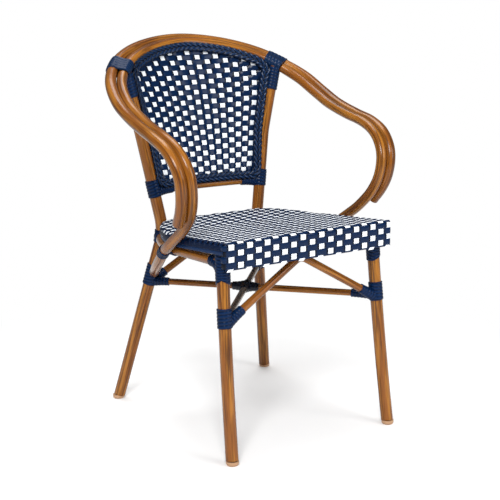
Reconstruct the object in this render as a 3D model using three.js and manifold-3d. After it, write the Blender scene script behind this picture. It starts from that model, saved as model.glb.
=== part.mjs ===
// A stacking cafe armchair: bent aluminium tubes finished as rattan canes, a woven seat and back,
// plaited trims, and strand bindings over every joint of the frame.
// Millimetres, +Z up, the sitter faces -Y, +X is the sitter's left. The origin is on the floor
// under the middle of the chair's outer box.

import * as THREE from 'three';
import { mergeVertices } from 'three/addons/utils/BufferGeometryUtils.js';
import Module from 'manifold-3d';

const wasm = await Module();
wasm.setup();

// Overall sizes
const WIDTH_OVER_ARMS = 570;
const DEPTH = 550;
const HEIGHT = 818;
const SEAT_HEIGHT = 445;

// Tube sizes
const LEG_TUBE = 26;
const HOOP_TUBE = 24;
const ARM_TUBE = 22;
const RAIL_TUBE = 22;
const SEAT_TUBE = 18;
const BRACE_TUBE = 16;
const PANEL_RAIL_TUBE = 16;
const STRETCHER_TUBE = 14;
const PANEL_ROD = 8;
const TUBE_WALL = 1.6;
const THIN_TUBE = 20;

// Fits: the gap kept between touching pieces and between tubes laid side by side through bends, the
// overrun of a cut, and the joining distance
const GAP = 0.3;
const LAY_GAP = 0.6;
const OVERRUN = 2;
const MERGE_DISTANCE = 0.0001;

// Legs and posts: spreads are between tube axes
const FRONT_FOOT_SPREAD = 400;
const FRONT_TOP_SPREAD = 376;
const FRONT_LEG_SETBACK = 40;
const FRONT_LEG_BOW = 7;
const REAR_FOOT_SPREAD = 407;
const REAR_FOOT_INSET = 65;
const WAIST_SPREAD = 250;
const WAIST_INSET = 146;
const WAIST_BELOW_SEAT = 48;
const WAIST_BEND_RADIUS = 130;
const POST_SPREAD = 320;
const POST_INSET = 121.5;
const POST_BEND_ABOVE_SEAT = 153;
const POST_BEND_RADIUS = 240;
const GLIDE_HEIGHT = 9;
const GLIDE_FOOT = 23;
const GLIDE_SHOULDER = 31;
const PLUG_DEPTH = 14;
const PLUG_DOME = 3;

// Outer hoop, from the crown to the end of one arm: shares of the half width over the tube axes,
// of the reach from the origin to the crown's axis, and of the height of the crown's axis
const hoopRouteShares = [
  [0, 1, 1],
  [0.377, 0.924, 0.987],
  [0.656, 0.775, 0.959],
  [0.824, 0.608, 0.925],
  [0.92, 0.439, 0.893],
  [0.967, 0.236, 0.853],
  [0.976, 0.046, 0.825],
  [0.99, -0.202, 0.801],
  [1, -0.376, 0.787],
  [0.989, -0.544, 0.762],
  [0.971, -0.646, 0.725],
  [0.956, -0.677, 0.693],
  [0.94, -0.665, 0.65],
  [0.921, -0.616, 0.614],
  [0.901, -0.544, 0.583],
];
const HOOP_SHOULDER_SHARE = 0.88;
const HOOP_LEAN_SHARE = 0.3;
const POST_JOINT_SHARE = 0.195;
const RAIL_PAST_POST_SHARE = 0.012;
const ARM_TUBE_START_SHARE = 0.228;
const HOOP_BINDING_SHARE = 0.2;
const ARM_TUBE_LEAVES_SHARE = 0.985;

// Lower run of the inner arm tube: shares of the way outwards, forwards and up from its crossing
// with the side rail to the hoop, then inwards, backwards and down from there to its end
const armRunShares = [
  [0.47, 0.25, 0.2],
  [0.6, 0.42, 0.36],
  [0.69, 0.6, 0.53],
  [0.8, 0.79, 0.72],
];
const armTailShares = [
  [0.15, 0.2, 0.26],
  [0.44, 0.53, 0.61],
];
const ARM_CROSSING_SHARE = 0.568;
const ARM_CROSSING_DROP = 3;
const ARM_END_HEIGHT = 307;

// Seat
const SEAT_FRONT_WIDTH = 418;
const SEAT_WAIST_WIDTH = 412;
const SEAT_BACK_WIDTH = 210;
const SEAT_FRONT_INSET = 25;
const SEAT_DEPTH = 368;
const SEAT_FALL = 21;
const SEAT_FALL_LENGTH = 245;
const SEAT_FALL_EASE_SHARE = 0.15;
const SEAT_EDGE_RADIUS = 7;
const SEAT_STRAIGHT_SHARE = 0.435;
const SEAT_CORNER_SIDE_SHARE = 0.625;
const SEAT_CORNER_BACK_SHARE = 0.985;
const SEAT_CORNER_WIDTH_SHARE = 0.85;
const APRON_HEIGHT = 56;
const WEAVE_THICKNESS = 3;
const BAND_HEIGHT = 13;
const BAND_THICKNESS = 2;
const LIP_HEIGHT = 8;
const LIP_INSET = 1.5;

// Rails under the seat
const SIDE_RAIL_HEIGHT = 398;
const SIDE_RAIL_SET_IN = 19;
const SIDE_RAIL_BEND_SHARE = 0.46;
const FRONT_RAIL_HEIGHT = 403;
const REAR_RAIL_HEIGHT = 384;

// Braces and stretchers
const FRONT_BRACE_HEIGHT = 275;
const REAR_BRACE_HEIGHT = 275;
const BRACE_BEND_RADIUS = 26;
const STRETCHER_HEIGHT = 281;

// Back panel
const BACK_RAIL_ABOVE_SEAT = 40;
const BACK_RAIL_BOW = 11;
const PANEL_FORWARD = 6;
const PLAIT_WIDTH = 18;
const PLAIT_THICKNESS = 4;
const PLAIT_FORWARD = 10.8;
const PLAIT_BEHIND = 2.8;
const REAR_PLAIT_WIDTH = 16;
const PLAIT_UNDER_RAIL = 6.7;
const PLAIT_FROM_POST = 10;
const PLAIT_OVER_BOTTOM = 6;

// Bindings: thickness, and how far each reaches along its tubes
const BINDING = 2.2;
const HOOP_BINDING_LENGTH = 36;
const POST_TOP_BINDING_LENGTH = 44;
const BACK_RAIL_BINDING_LENGTH = 40;
const BACK_RAIL_BINDING_REACH = 52;
const WAIST_BINDING_LENGTH = 30;
const WAIST_BINDING_REACH = 30;
const REAR_LEG_BINDING_BELOW_TUBES = 2;
const REAR_LEG_BINDING_ABOVE_TUBES = 38;
const FRONT_LEG_BINDING_BELOW_TUBES = 8;
const FRONT_LEG_BINDING_ABOVE_TUBES = 24;
const LEG_BINDING_REACH = 46;
const STRETCHER_BINDING_REACH = 54;
const FRONT_TOP_BINDING_LENGTH = 56;
const FRONT_TOP_BINDING_REACH = 36;
const CROSSING_BINDING_REACH = 30;
const ARM_CROSSING_BINDING_LENGTH = 26;

// Facets: sides of round sections, and steps along curves and sheets
const TUBE_SIDES = 10;
const THIN_TUBE_SIDES = 8;
const BORE_SIDES = 8;
const ROD_SIDES = 6;
const GLIDE_SIDES = 12;
const BEND_STEPS = 3;
const HOOP_STEPS = 24;
const RAIL_STEPS = 4;
const LEG_STEPS = 6;
const EDGE_STEPS = 4;
const SEAT_SIDE_STEPS = 3;
const SEAT_CORNER_STEPS = 6;
const PANEL_STEPS = 7;
const WEAVE_COLUMNS = 4;
const LOOP_RING = 3;
const SHARE_STEP = 0.001;

// Finishes
const caneBrown = { color: 0xa87038, roughness: 0.35, metalness: 0.1 };
const strandNavy = { color: 0x1e325f, roughness: 0.5, metalness: 0 };
const weaveNavyWhite = { color: 0x8088a0, roughness: 0.55, metalness: 0 };
const bareTube = { color: 0x9a9a98, roughness: 0.5, metalness: 0.7 };
const glideTan = { color: 0xb9916f, roughness: 0.6, metalness: 0 };

// Places that several pieces share
const frontY = -DEPTH / 2;
const backY = DEPTH / 2;
const hoopHalfWidth = (WIDTH_OVER_ARMS - HOOP_TUBE) / 2;
const hoopReach = (DEPTH - HOOP_TUBE) / 2;
const hoopRise = HEIGHT - HOOP_TUBE / 2;
const hoopShoulder = HOOP_SHOULDER_SHARE * hoopHalfWidth;
const seatFrontY = frontY + SEAT_FRONT_INSET;
const seatBackY = seatFrontY + SEAT_DEPTH;
const frontLegTopY = seatFrontY + FRONT_LEG_SETBACK;
const frontFootY = frontY + LEG_TUBE / 2;

const chair = new THREE.Group();
const at = (x, y, z) => new THREE.Vector3(x, y, z);
const mirrored = (p) => at(-p.x, p.y, p.z);
const mix = (a, b, share) => a.clone().lerp(b, share);

// A curve through stations. It is sampled at its own stations, so a straight run takes one step.
class Route extends THREE.CatmullRomCurve3 {
  constructor(stations) {
    super(stations, false, 'centripetal');
  }

  getUtoTmapping(u) {
    return u;
  }
}

// Stations along straight runs whose corners are rounded like bends in a tube
function bentStations(corners, radii) {
  const stations = [corners[0]];
  for (let i = 1; i < corners.length - 1; i += 1) {
    const back = corners[i - 1].clone().sub(corners[i]).normalize();
    const ahead = corners[i + 1].clone().sub(corners[i]).normalize();
    const reach = radii[i - 1] / Math.tan(back.angleTo(ahead) / 2);
    const start = corners[i].clone().addScaledVector(back, reach);
    const end = corners[i].clone().addScaledVector(ahead, reach);
    const bend = new THREE.QuadraticBezierCurve3(start, corners[i], end);
    stations.push(...bend.getPoints(BEND_STEPS));
  }
  stations.push(corners[corners.length - 1]);
  return stations;
}

// The point of an axis where one of its coordinates, which grows along it, has a value
function axisAt(stations, coordinate, value) {
  let i = 0;
  while (i < stations.length - 2 && stations[i + 1][coordinate] < value) i += 1;
  const low = stations[i];
  const high = stations[i + 1];
  return mix(low, high, (value - low[coordinate]) / (high[coordinate] - low[coordinate]));
}

// The part of a rising axis between two heights
function betweenHeights(stations, low, high) {
  return [
    axisAt(stations, 'z', low),
    ...stations.filter((p) => p.z > low && p.z < high),
    axisAt(stations, 'z', high),
  ];
}

// The first length of an axis, measured along it, after a setback from its first station
function firstLength(stations, setback, length) {
  const walked = [0];
  for (let i = 1; i < stations.length; i += 1) {
    walked.push(walked[i - 1] + stations[i].distanceTo(stations[i - 1]));
  }
  const reached = (distance) => {
    let i = 1;
    while (i < stations.length - 1 && walked[i] < distance) i += 1;
    const share = (distance - walked[i - 1]) / (walked[i] - walked[i - 1]);
    return mix(stations[i - 1], stations[i], share);
  };
  const between = stations.filter((p, i) => walked[i] > setback && walked[i] < setback + length);
  return [reached(setback), ...between, reached(setback + length)];
}

// A regular outline round a tube's axis
function ring(radius, sides) {
  const points = [];
  for (let i = 0; i < sides; i += 1) {
    const turn = (2 * Math.PI * i) / sides;
    points.push(new THREE.Vector2(radius * Math.cos(turn), radius * Math.sin(turn)));
  }
  return points;
}

// A round bar or, with a wall, an open-ended tube along its stations
function bar(stations, diameter, wall = 0) {
  const sides = diameter > THIN_TUBE ? TUBE_SIDES : THIN_TUBE_SIDES;
  const section = new THREE.Shape(ring(diameter / 2, sides));
  if (wall > 0) section.holes.push(new THREE.Path(ring(diameter / 2 - wall, BORE_SIDES)));
  return new THREE.ExtrudeGeometry(section, {
    steps: stations.length - 1,
    extrudePath: new Route(stations),
    bevelEnabled: false,
  });
}

const tube = (stations, diameter) => bar(stations, diameter, TUBE_WALL);

// The room that a tube takes, with the gap that its neighbours keep to it
const roomOf = (stations, diameter) => bar(stations, diameter + 2 * GAP);

// The strand wound round a stretch of tube
const sleeve = (stations, diameter) => bar(stations, diameter + 2 * (GAP + BINDING));

// A closed sheet or bar: a unit box whose points are each moved to place(u, v, w), all from 0 to 1
function formed(uSteps, vSteps, wSteps, place) {
  const geometry = new THREE.BoxGeometry(1, 1, 1, uSteps, vSteps, wSteps);
  const position = geometry.attributes.position;
  for (let i = 0; i < position.count; i += 1) {
    const p = place(position.getX(i) + 0.5, position.getY(i) + 0.5, position.getZ(i) + 0.5);
    position.setXYZ(i, p.x, p.y, p.z);
  }
  geometry.computeVertexNormals();
  return geometry;
}

// Booleans
function toSolid(geometry) {
  const bare = geometry.clone();
  bare.deleteAttribute('normal');
  bare.deleteAttribute('uv');
  const merged = mergeVertices(bare, MERGE_DISTANCE);
  return new wasm.Manifold(new wasm.Mesh({
    numProp: 3,
    vertProperties: new Float32Array(merged.attributes.position.array),
    triVerts: new Uint32Array(merged.index.array),
  }));
}

function toGeometry(solid) {
  const mesh = solid.getMesh();
  const geometry = new THREE.BufferGeometry();
  geometry.setAttribute('position', new THREE.BufferAttribute(new Float32Array(mesh.vertProperties), 3));
  geometry.setIndex(new THREE.BufferAttribute(new Uint32Array(mesh.triVerts), 1));
  geometry.computeVertexNormals();
  return geometry;
}

// Bodies joined into one and then cut by others
function shaped(bodies, cutters) {
  const whole = bodies.map(toSolid).reduce((sum, next) => sum.add(next));
  return toGeometry(cutters.map(toSolid).reduce((rest, next) => rest.subtract(next), whole));
}

function addPiece(name, geometry, finish) {
  const mesh = new THREE.Mesh(geometry, new THREE.MeshStandardMaterial(finish));
  mesh.name = name;
  chair.add(mesh);
}

// A left piece as drawn and its mirror image on the right
function addPair(name, geometry, finish) {
  addPiece(`${name}_left`, geometry, finish);
  const other = toGeometry(toSolid(geometry)).toNonIndexed();
  const position = other.attributes.position;
  for (let i = 0; i < position.count; i += 3) {
    const a = at(0, 0, 0).fromBufferAttribute(position, i);
    const b = at(0, 0, 0).fromBufferAttribute(position, i + 1);
    const c = at(0, 0, 0).fromBufferAttribute(position, i + 2);
    position.setXYZ(i, -a.x, a.y, a.z);
    position.setXYZ(i + 1, -c.x, c.y, c.z);
    position.setXYZ(i + 2, -b.x, b.y, b.z);
  }
  other.computeVertexNormals();
  addPiece(`${name}_right`, other, finish);
}

// Both halves of a route that is drawn from the middle of the chair outwards
const bothHalves = (half) => [...half.slice(1).map(mirrored).reverse(), ...half];

// Outer hoop, and the places beside it where its companion tubes lie against it
const hoopHalf = hoopRouteShares.map(([across, along, up]) => at(
  across * hoopHalfWidth,
  along * hoopReach,
  up * hoopRise,
));
const hoopCurve = new THREE.CatmullRomCurve3(bothHalves(hoopHalf), false, 'centripetal');
const hoopAxis = hoopCurve.getPoints(2 * HOOP_STEPS);
const hoopPoint = (share) => hoopCurve.getPoint((1 + share) / 2);

function besideHoop(share, diameter) {
  const p = hoopPoint(share);
  const along = hoopCurve.getTangent((1 + share) / 2);
  const turn = Math.min(1, p.x / hoopShoulder);
  const straight = Math.sqrt(1 - turn * turn);
  const outward = at(turn, straight, HOOP_LEAN_SHARE * straight);
  outward.addScaledVector(along, -outward.dot(along)).normalize();
  return p.addScaledVector(outward, -(HOOP_TUBE + diameter) / 2 - LAY_GAP);
}

// Evenly spread places on a curve that is given by shares of its length
function spread(curve, from, to, steps) {
  return Array.from({ length: steps + 1 }, (unused, i) => curve(from + ((to - from) * i) / steps));
}

// Stations of a curve along the hoop between two shares, on the chords between the hoop's stations
function alongHoop(curve, from, to) {
  const chord = (share) => {
    const i = Math.min(HOOP_STEPS - 1, Math.floor(share * HOOP_STEPS));
    return mix(curve(i / HOOP_STEPS), curve((i + 1) / HOOP_STEPS), share * HOOP_STEPS - i);
  };
  const between = spread((share) => share, 0, 1, HOOP_STEPS).filter((share) => share > from && share < to);
  return [chord(from), ...between.map(curve), chord(to)];
}

const topRailPoint = (share) => besideHoop(share, HOOP_TUBE);
const armPoint = (share) => besideHoop(share, ARM_TUBE);
const topRailHalf = alongHoop(topRailPoint, 0, POST_JOINT_SHARE + RAIL_PAST_POST_SHARE);
const topRailAxis = bothHalves(topRailHalf);
const postJoint = alongHoop(topRailPoint, POST_JOINT_SHARE, 1)[0];

// Rear legs, from the floor to the top rail
const waist = at(WAIST_SPREAD / 2, backY - WAIST_INSET, SEAT_HEIGHT - WAIST_BELOW_SEAT);
const postBend = at(POST_SPREAD / 2, backY - POST_INSET, SEAT_HEIGHT + POST_BEND_ABOVE_SEAT);
const rearFoot = at(REAR_FOOT_SPREAD / 2, backY - REAR_FOOT_INSET, 0);
const postDown = postBend.clone().sub(postJoint).normalize();
const postTop = postJoint.clone().addScaledVector(postDown, HOOP_TUBE / 4);
const rearLegLine = bentStations([rearFoot, waist, postBend, postTop], [WAIST_BEND_RADIUS, POST_BEND_RADIUS]);
const rearLegAxis = betweenHeights(rearLegLine, GLIDE_HEIGHT, postTop.z);

// Seat profile: it falls from the front edge and is level behind that
function seatTopZ(y) {
  const share = Math.min(1, (y - seatFrontY) / SEAT_FALL_LENGTH);
  return SEAT_HEIGHT - SEAT_FALL * share * (1 + SEAT_FALL_EASE_SHARE * (1 - share));
}

// Front legs, from the floor to the seat's tube
const frontFoot = at(FRONT_FOOT_SPREAD / 2, frontFootY, 0);
const seatTubeDrop = WEAVE_THICKNESS + LAY_GAP + SEAT_TUBE / 2;
const frontLegTop = at(
  FRONT_TOP_SPREAD / 2,
  frontLegTopY,
  seatTopZ(frontLegTopY + LEG_TUBE / 2) - seatTubeDrop - SEAT_TUBE / 2 - GAP,
);
const frontLegControl = mix(frontFoot, frontLegTop, 0.5).add(at(0, FRONT_LEG_BOW, 0));
const frontLegLine = new THREE.QuadraticBezierCurve3(frontFoot, frontLegControl, frontLegTop)
  .getPoints(LEG_STEPS);
const frontLegAxis = betweenHeights(frontLegLine, GLIDE_HEIGHT, frontLegTop.z);

// Seat outline: half the width at places along the depth, from the front corner to the back edge
const seatWaistY = seatFrontY + SEAT_STRAIGHT_SHARE * SEAT_DEPTH;
const seatCorner = new THREE.CubicBezierCurve3(
  at(SEAT_WAIST_WIDTH / 2, seatWaistY, 0),
  at(SEAT_WAIST_WIDTH / 2, seatFrontY + SEAT_CORNER_SIDE_SHARE * SEAT_DEPTH, 0),
  at(
    (SEAT_CORNER_WIDTH_SHARE * SEAT_WAIST_WIDTH) / 2,
    seatFrontY + SEAT_CORNER_BACK_SHARE * SEAT_DEPTH,
    0,
  ),
  at(SEAT_BACK_WIDTH / 2, seatBackY, 0),
);
const seatSide = new THREE.LineCurve3(
  at(SEAT_FRONT_WIDTH / 2, seatFrontY + SEAT_EDGE_RADIUS, 0),
  at(SEAT_WAIST_WIDTH / 2, seatWaistY, 0),
);
const seatEdge = [
  ...seatSide.getPoints(SEAT_SIDE_STEPS),
  ...seatCorner.getPoints(SEAT_CORNER_STEPS).slice(1),
];

// The seat's edge moved inwards and down, from one front corner round the back to the other
function aroundSeat(inset, drop) {
  const edge = [...seatEdge, at(0, seatBackY, 0)];
  const half = edge.map((p, i) => {
    const before = edge[Math.max(0, i - 1)];
    const after = i < edge.length - 1 ? edge[i + 1] : mirrored(edge[i - 1]);
    const along = after.clone().sub(before).normalize();
    const y = p.y + along.x * inset;
    return at(p.x - along.y * inset, y, seatTopZ(y) - drop);
  });
  return [...half, ...half.slice(0, -1).map(mirrored).reverse()];
}

// Rails under the seat
const frontRailEnd = axisAt(frontLegAxis, 'z', FRONT_RAIL_HEIGHT);
const frontRailAxis = [mirrored(frontRailEnd), frontRailEnd];
const rearRailEnd = axisAt(rearLegAxis, 'z', REAR_RAIL_HEIGHT);
const rearRailAxis = [mirrored(rearRailEnd), rearRailEnd];
const sideRailFront = axisAt(frontLegAxis, 'z', SIDE_RAIL_HEIGHT);
const railBendY = sideRailFront.y + SIDE_RAIL_BEND_SHARE * (rearRailEnd.y - sideRailFront.y);
const railFall = SIDE_RAIL_BEND_SHARE * (sideRailFront.z - rearRailEnd.z);
const sideRailBend = at(SEAT_WAIST_WIDTH / 2 - SIDE_RAIL_SET_IN, railBendY, sideRailFront.z - railFall);
const railCornerShare = (1 + SIDE_RAIL_BEND_SHARE) / 2;
const sideRailCorner = at(
  sideRailBend.x,
  mix(sideRailFront, rearRailEnd, railCornerShare).y,
  rearRailEnd.z,
);
const sideRailAxis = [
  sideRailFront,
  mix(sideRailFront, sideRailBend, 0.5),
  ...new THREE.QuadraticBezierCurve3(sideRailBend, sideRailCorner, rearRailEnd).getPoints(BEND_STEPS),
];

// Braces, whose tops lie against the rails, and stretchers, which cross in the middle
function braceAxis(legAxis, height, railEnd) {
  const foot = axisAt(legAxis, 'z', height);
  const under = (RAIL_TUBE + BRACE_TUBE) / 2 + GAP;
  const rise = railEnd.z - under - foot.z;
  const slope = Math.atan2(rise, foot.x);
  const reach = BRACE_BEND_RADIUS * Math.tan(slope);
  const apex = at(0, railEnd.y, railEnd.z - under + (reach * Math.sin(slope)) / 2);
  return bentStations([mirrored(foot), apex, foot], [BRACE_BEND_RADIUS]);
}

const frontBraceAxis = braceAxis(frontLegAxis, FRONT_BRACE_HEIGHT, frontRailEnd);
const rearBraceAxis = braceAxis(rearLegAxis, REAR_BRACE_HEIGHT, rearRailEnd);
const stretcherFront = axisAt(frontLegAxis, 'z', STRETCHER_HEIGHT);
const stretcherRear = axisAt(rearLegAxis, 'z', STRETCHER_HEIGHT);
const longStretcherAxis = [mirrored(stretcherRear), stretcherFront];
const crossStretcherAxis = [mirrored(stretcherFront), stretcherRear];
const crossingShare = stretcherRear.x / (stretcherRear.x + stretcherFront.x);
const crossing = mix(longStretcherAxis[0], longStretcherAxis[1], crossingShare);

// Inner arm tubes: against the hoop, past the side rail and down to the rear leg
const armLeaves = armPoint(ARM_TUBE_LEAVES_SHARE);
const railAtCrossing = axisAt(sideRailAxis, 'y', mix(sideRailFront, rearRailEnd, ARM_CROSSING_SHARE).y);
const armCrossing = railAtCrossing.clone().add(at((ARM_TUBE + RAIL_TUBE) / 2 + GAP, 0, -ARM_CROSSING_DROP));
const legAtArmEnd = axisAt(rearLegAxis, 'z', ARM_END_HEIGHT);
const towardCrossing = armCrossing.clone().sub(legAtArmEnd).setZ(0).normalize();
const armEndReach = (ARM_TUBE + LEG_TUBE) / 2 + BINDING + GAP;
const armEnd = legAtArmEnd.clone().addScaledVector(towardCrossing, armEndReach);

function partWay(from, to, shares) {
  const way = to.clone().sub(from);
  return shares.map(([x, y, z]) => from.clone().add(at(x * way.x, y * way.y, z * way.z)));
}

const armAxis = [
  ...alongHoop(armPoint, ARM_TUBE_START_SHARE, ARM_TUBE_LEAVES_SHARE),
  ...partWay(armCrossing, armLeaves, armRunShares).reverse(),
  armCrossing,
  ...partWay(armCrossing, armEnd, armTailShares),
  armEnd,
];

// Rooms that the frame's tubes take, for cutting the pieces that meet them
const roomOfHoop = roomOf(hoopAxis, HOOP_TUBE);
const roomOfTopRail = roomOf(topRailAxis, HOOP_TUBE);
const roomOfRearLeg = roomOf(rearLegAxis, LEG_TUBE);
const roomOfOtherRearLeg = roomOf(rearLegAxis.map(mirrored), LEG_TUBE);
const roomOfFrontLeg = roomOf(frontLegAxis, LEG_TUBE);
const roomOfOtherFrontLeg = roomOf(frontLegAxis.map(mirrored), LEG_TUBE);
const roomOfSideRail = roomOf(sideRailAxis, RAIL_TUBE);
const roomOfOtherSideRail = roomOf(sideRailAxis.map(mirrored), RAIL_TUBE);
const roomOfFrontRail = roomOf(frontRailAxis, RAIL_TUBE);
const roomOfRearRail = roomOf(rearRailAxis, RAIL_TUBE);
const roomOfFrontBrace = roomOf(frontBraceAxis, BRACE_TUBE);
const roomOfRearBrace = roomOf(rearBraceAxis, BRACE_TUBE);
const roomOfLongStretcher = roomOf(longStretcherAxis, STRETCHER_TUBE);
const roomOfCrossStretcher = roomOf(crossStretcherAxis, STRETCHER_TUBE);
const roomOfArmTube = roomOf(armAxis, ARM_TUBE);

// Frame
addPiece('outer_hoop', tube(hoopAxis, HOOP_TUBE), caneBrown);
addPiece('top_rail', tube(topRailAxis, HOOP_TUBE), caneBrown);
addPair('arm_tube', tube(armAxis, ARM_TUBE), caneBrown);
addPair('rear_leg', shaped([tube(rearLegAxis, LEG_TUBE)], [roomOfTopRail]), caneBrown);
addPair('front_leg', tube(frontLegAxis, LEG_TUBE), caneBrown);
addPair('side_rail', shaped([tube(sideRailAxis, RAIL_TUBE)], [roomOfFrontLeg, roomOfRearLeg]), caneBrown);
addPiece('front_seat_rail', shaped(
  [tube(frontRailAxis, RAIL_TUBE)],
  [roomOfFrontLeg, roomOfOtherFrontLeg, roomOfSideRail, roomOfOtherSideRail],
), caneBrown);
addPiece('rear_seat_rail', shaped(
  [tube(rearRailAxis, RAIL_TUBE)],
  [roomOfRearLeg, roomOfOtherRearLeg],
), caneBrown);
addPiece('front_brace', shaped(
  [tube(frontBraceAxis, BRACE_TUBE)],
  [roomOfFrontLeg, roomOfOtherFrontLeg],
), caneBrown);
addPiece('rear_brace', shaped(
  [tube(rearBraceAxis, BRACE_TUBE)],
  [roomOfRearLeg, roomOfOtherRearLeg],
), caneBrown);
addPiece('stretcher_long', shaped(
  [tube(longStretcherAxis, STRETCHER_TUBE)],
  [roomOfFrontLeg, roomOfOtherRearLeg, roomOfFrontBrace, roomOfRearBrace],
), caneBrown);
addPiece('stretcher_short_front', shaped(
  [tube([crossStretcherAxis[0], crossing], STRETCHER_TUBE)],
  [roomOfOtherFrontLeg, roomOfFrontBrace, roomOfLongStretcher],
), caneBrown);
addPiece('stretcher_short_rear', shaped(
  [tube([crossing, crossStretcherAxis[1]], STRETCHER_TUBE)],
  [roomOfRearLeg, roomOfRearBrace, roomOfLongStretcher],
), caneBrown);

// Foot glides: a flat bottom on the floor, a chamfer, and a stem up the leg's bore
function glide(foot, legAxis) {
  const up = legAxis[1].clone().sub(legAxis[0]).normalize();
  const top = legAxis[0].clone().addScaledVector(up, -GAP);
  const under = foot.clone().addScaledVector(up, -LEG_TUBE);
  const block = bar([under, top], LEG_TUBE);
  const stemWidth = (LEG_TUBE - 2 * TUBE_WALL) * Math.cos(Math.PI / BORE_SIDES) - 2 * GAP;
  const stem = bar([foot, top.clone().addScaledVector(up, PLUG_DEPTH)], stemWidth);
  const cone = new THREE.CylinderGeometry(GLIDE_SHOULDER / 2, GLIDE_FOOT / 2, GLIDE_HEIGHT, GLIDE_SIDES);
  cone.rotateX(Math.PI / 2).translate(foot.x, foot.y, GLIDE_HEIGHT / 2);
  const tall = new THREE.CylinderGeometry(LEG_TUBE, LEG_TUBE, 2 * PLUG_DEPTH, GLIDE_SIDES);
  tall.rotateX(Math.PI / 2).translate(foot.x, foot.y, PLUG_DEPTH + GLIDE_HEIGHT);
  const room = toSolid(cone).add(toSolid(tall));
  return toGeometry(toSolid(block).add(toSolid(stem)).intersect(room));
}

addPair('glide_front', glide(frontFoot, frontLegAxis), glideTan);
addPair('glide_rear', glide(rearFoot, rearLegAxis), glideTan);

// End plugs: a low dome over a tube's end and a stem in its bore
function plug(end, inside, diameter) {
  const out = end.clone().sub(inside).normalize();
  const stem = (diameter / 2 - TUBE_WALL) * Math.cos(Math.PI / BORE_SIDES) - GAP;
  const profile = [
    new THREE.Vector2(0, -PLUG_DEPTH),
    new THREE.Vector2(stem, -PLUG_DEPTH),
    new THREE.Vector2(stem, GAP),
    new THREE.Vector2(diameter / 2, GAP),
    new THREE.Vector2(diameter / 2, GAP + PLUG_DOME / 3),
    new THREE.Vector2(diameter / 3, GAP + PLUG_DOME),
    new THREE.Vector2(0, GAP + PLUG_DOME),
  ];
  const body = new THREE.LatheGeometry(profile, TUBE_SIDES);
  const turn = new THREE.Quaternion().setFromUnitVectors(at(0, 1, 0), out);
  return body.applyQuaternion(turn).translate(end.x, end.y, end.z);
}

const [hoopInside, hoopEnd] = hoopAxis.slice(-2);
addPair('hoop_end_plug', plug(hoopEnd, hoopInside, HOOP_TUBE), caneBrown);
addPair('arm_tube_upper_plug', plug(armAxis[0], armAxis[1], ARM_TUBE), caneBrown);
const armEndPlug = plug(armEnd, armAxis[armAxis.length - 2], ARM_TUBE);
addPair('arm_tube_lower_plug', armEndPlug, caneBrown);

// Seat frame
const seatFrontTubeY = seatFrontY + seatTubeDrop;
const seatFrontTubeZ = seatTopZ(seatFrontTubeY) - seatTubeDrop;
const seatHoopLine = aroundSeat(seatTubeDrop, seatTubeDrop);
const seatHoopSideX = (y) => axisAt(seatHoopLine.slice(0, 2), 'y', y).x;
const seatHoopEndY = seatFrontTubeY + SEAT_TUBE / 4;
const seatHoopEnd = at(seatHoopSideX(seatHoopEndY), seatHoopEndY, seatFrontTubeZ);
const seatHoopAxis = [seatHoopEnd, ...seatHoopLine.slice(1, -1), mirrored(seatHoopEnd)];
const seatFrontTubeReach = Math.min(
  seatHoopSideX(seatFrontTubeY - SEAT_TUBE / 2),
  seatHoopSideX(seatFrontTubeY + SEAT_TUBE / 2),
);
const seatFrontTubeEnd = at(seatFrontTubeReach + SEAT_TUBE / 2, seatFrontTubeY, seatFrontTubeZ);
const seatFrontTubeAxis = [mirrored(seatFrontTubeEnd), seatFrontTubeEnd];
const pastFrontTube = seatFrontTubeEnd.clone().add(at(SEAT_TUBE, 0, 0));
addPiece('seat_front_tube', tube(seatFrontTubeAxis, SEAT_TUBE), bareTube);
addPiece('seat_hoop', shaped(
  [tube(seatHoopAxis, SEAT_TUBE)],
  [roomOf([mirrored(pastFrontTube), pastFrontTube], SEAT_TUBE)],
), bareTube);

// Woven seat: apron, rounded front edge and top in one sheet
const frontSection = spread((share) => {
  const turn = share * (Math.PI / 2);
  return {
    y: seatFrontY + SEAT_EDGE_RADIUS * (1 - Math.cos(turn)),
    z: seatTopZ(seatFrontY + SEAT_EDGE_RADIUS) - SEAT_EDGE_RADIUS * (1 - Math.sin(turn)),
    outY: -Math.cos(turn),
    outZ: Math.sin(turn),
    half: SEAT_FRONT_WIDTH / 2,
  };
}, 0, 1, EDGE_STEPS);
const seatSection = [
  { ...frontSection[0], z: SEAT_HEIGHT - APRON_HEIGHT },
  ...frontSection,
  ...seatEdge.slice(1).map((p) => ({ y: p.y, z: seatTopZ(p.y), outY: 0, outZ: 1, half: p.x })),
];
addPiece('seat_weave', formed(WEAVE_COLUMNS, seatSection.length - 1, 1, (u, v, w) => {
  const row = seatSection[Math.round(v * (seatSection.length - 1))];
  const depth = (1 - w) * WEAVE_THICKNESS;
  return at((2 * u - 1) * row.half, row.y - row.outY * depth, row.z - row.outZ * depth);
}), weaveNavyWhite);

// A strip that stands on edge round the seat, a drop below its top
function edgeStrip(inset, thickness, drop, height) {
  const outer = aroundSeat(inset, drop);
  const inner = aroundSeat(inset + thickness, drop);
  return formed(outer.length - 1, 1, 1, (u, v, w) => {
    const i = Math.round(u * (outer.length - 1));
    const p = mix(outer[i], inner[i], v);
    return at(p.x, p.y, outer[i].z - (1 - w) * height);
  });
}

const bandDrop = WEAVE_THICKNESS + GAP;
const lipDrop = bandDrop + BAND_HEIGHT + GAP;
addPiece('seat_edge_band', edgeStrip(0, BAND_THICKNESS, bandDrop, BAND_HEIGHT), strandNavy);
addPiece('seat_edge_lip', edgeStrip(LIP_INSET, BAND_THICKNESS, lipDrop, LIP_HEIGHT), strandNavy);

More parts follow.
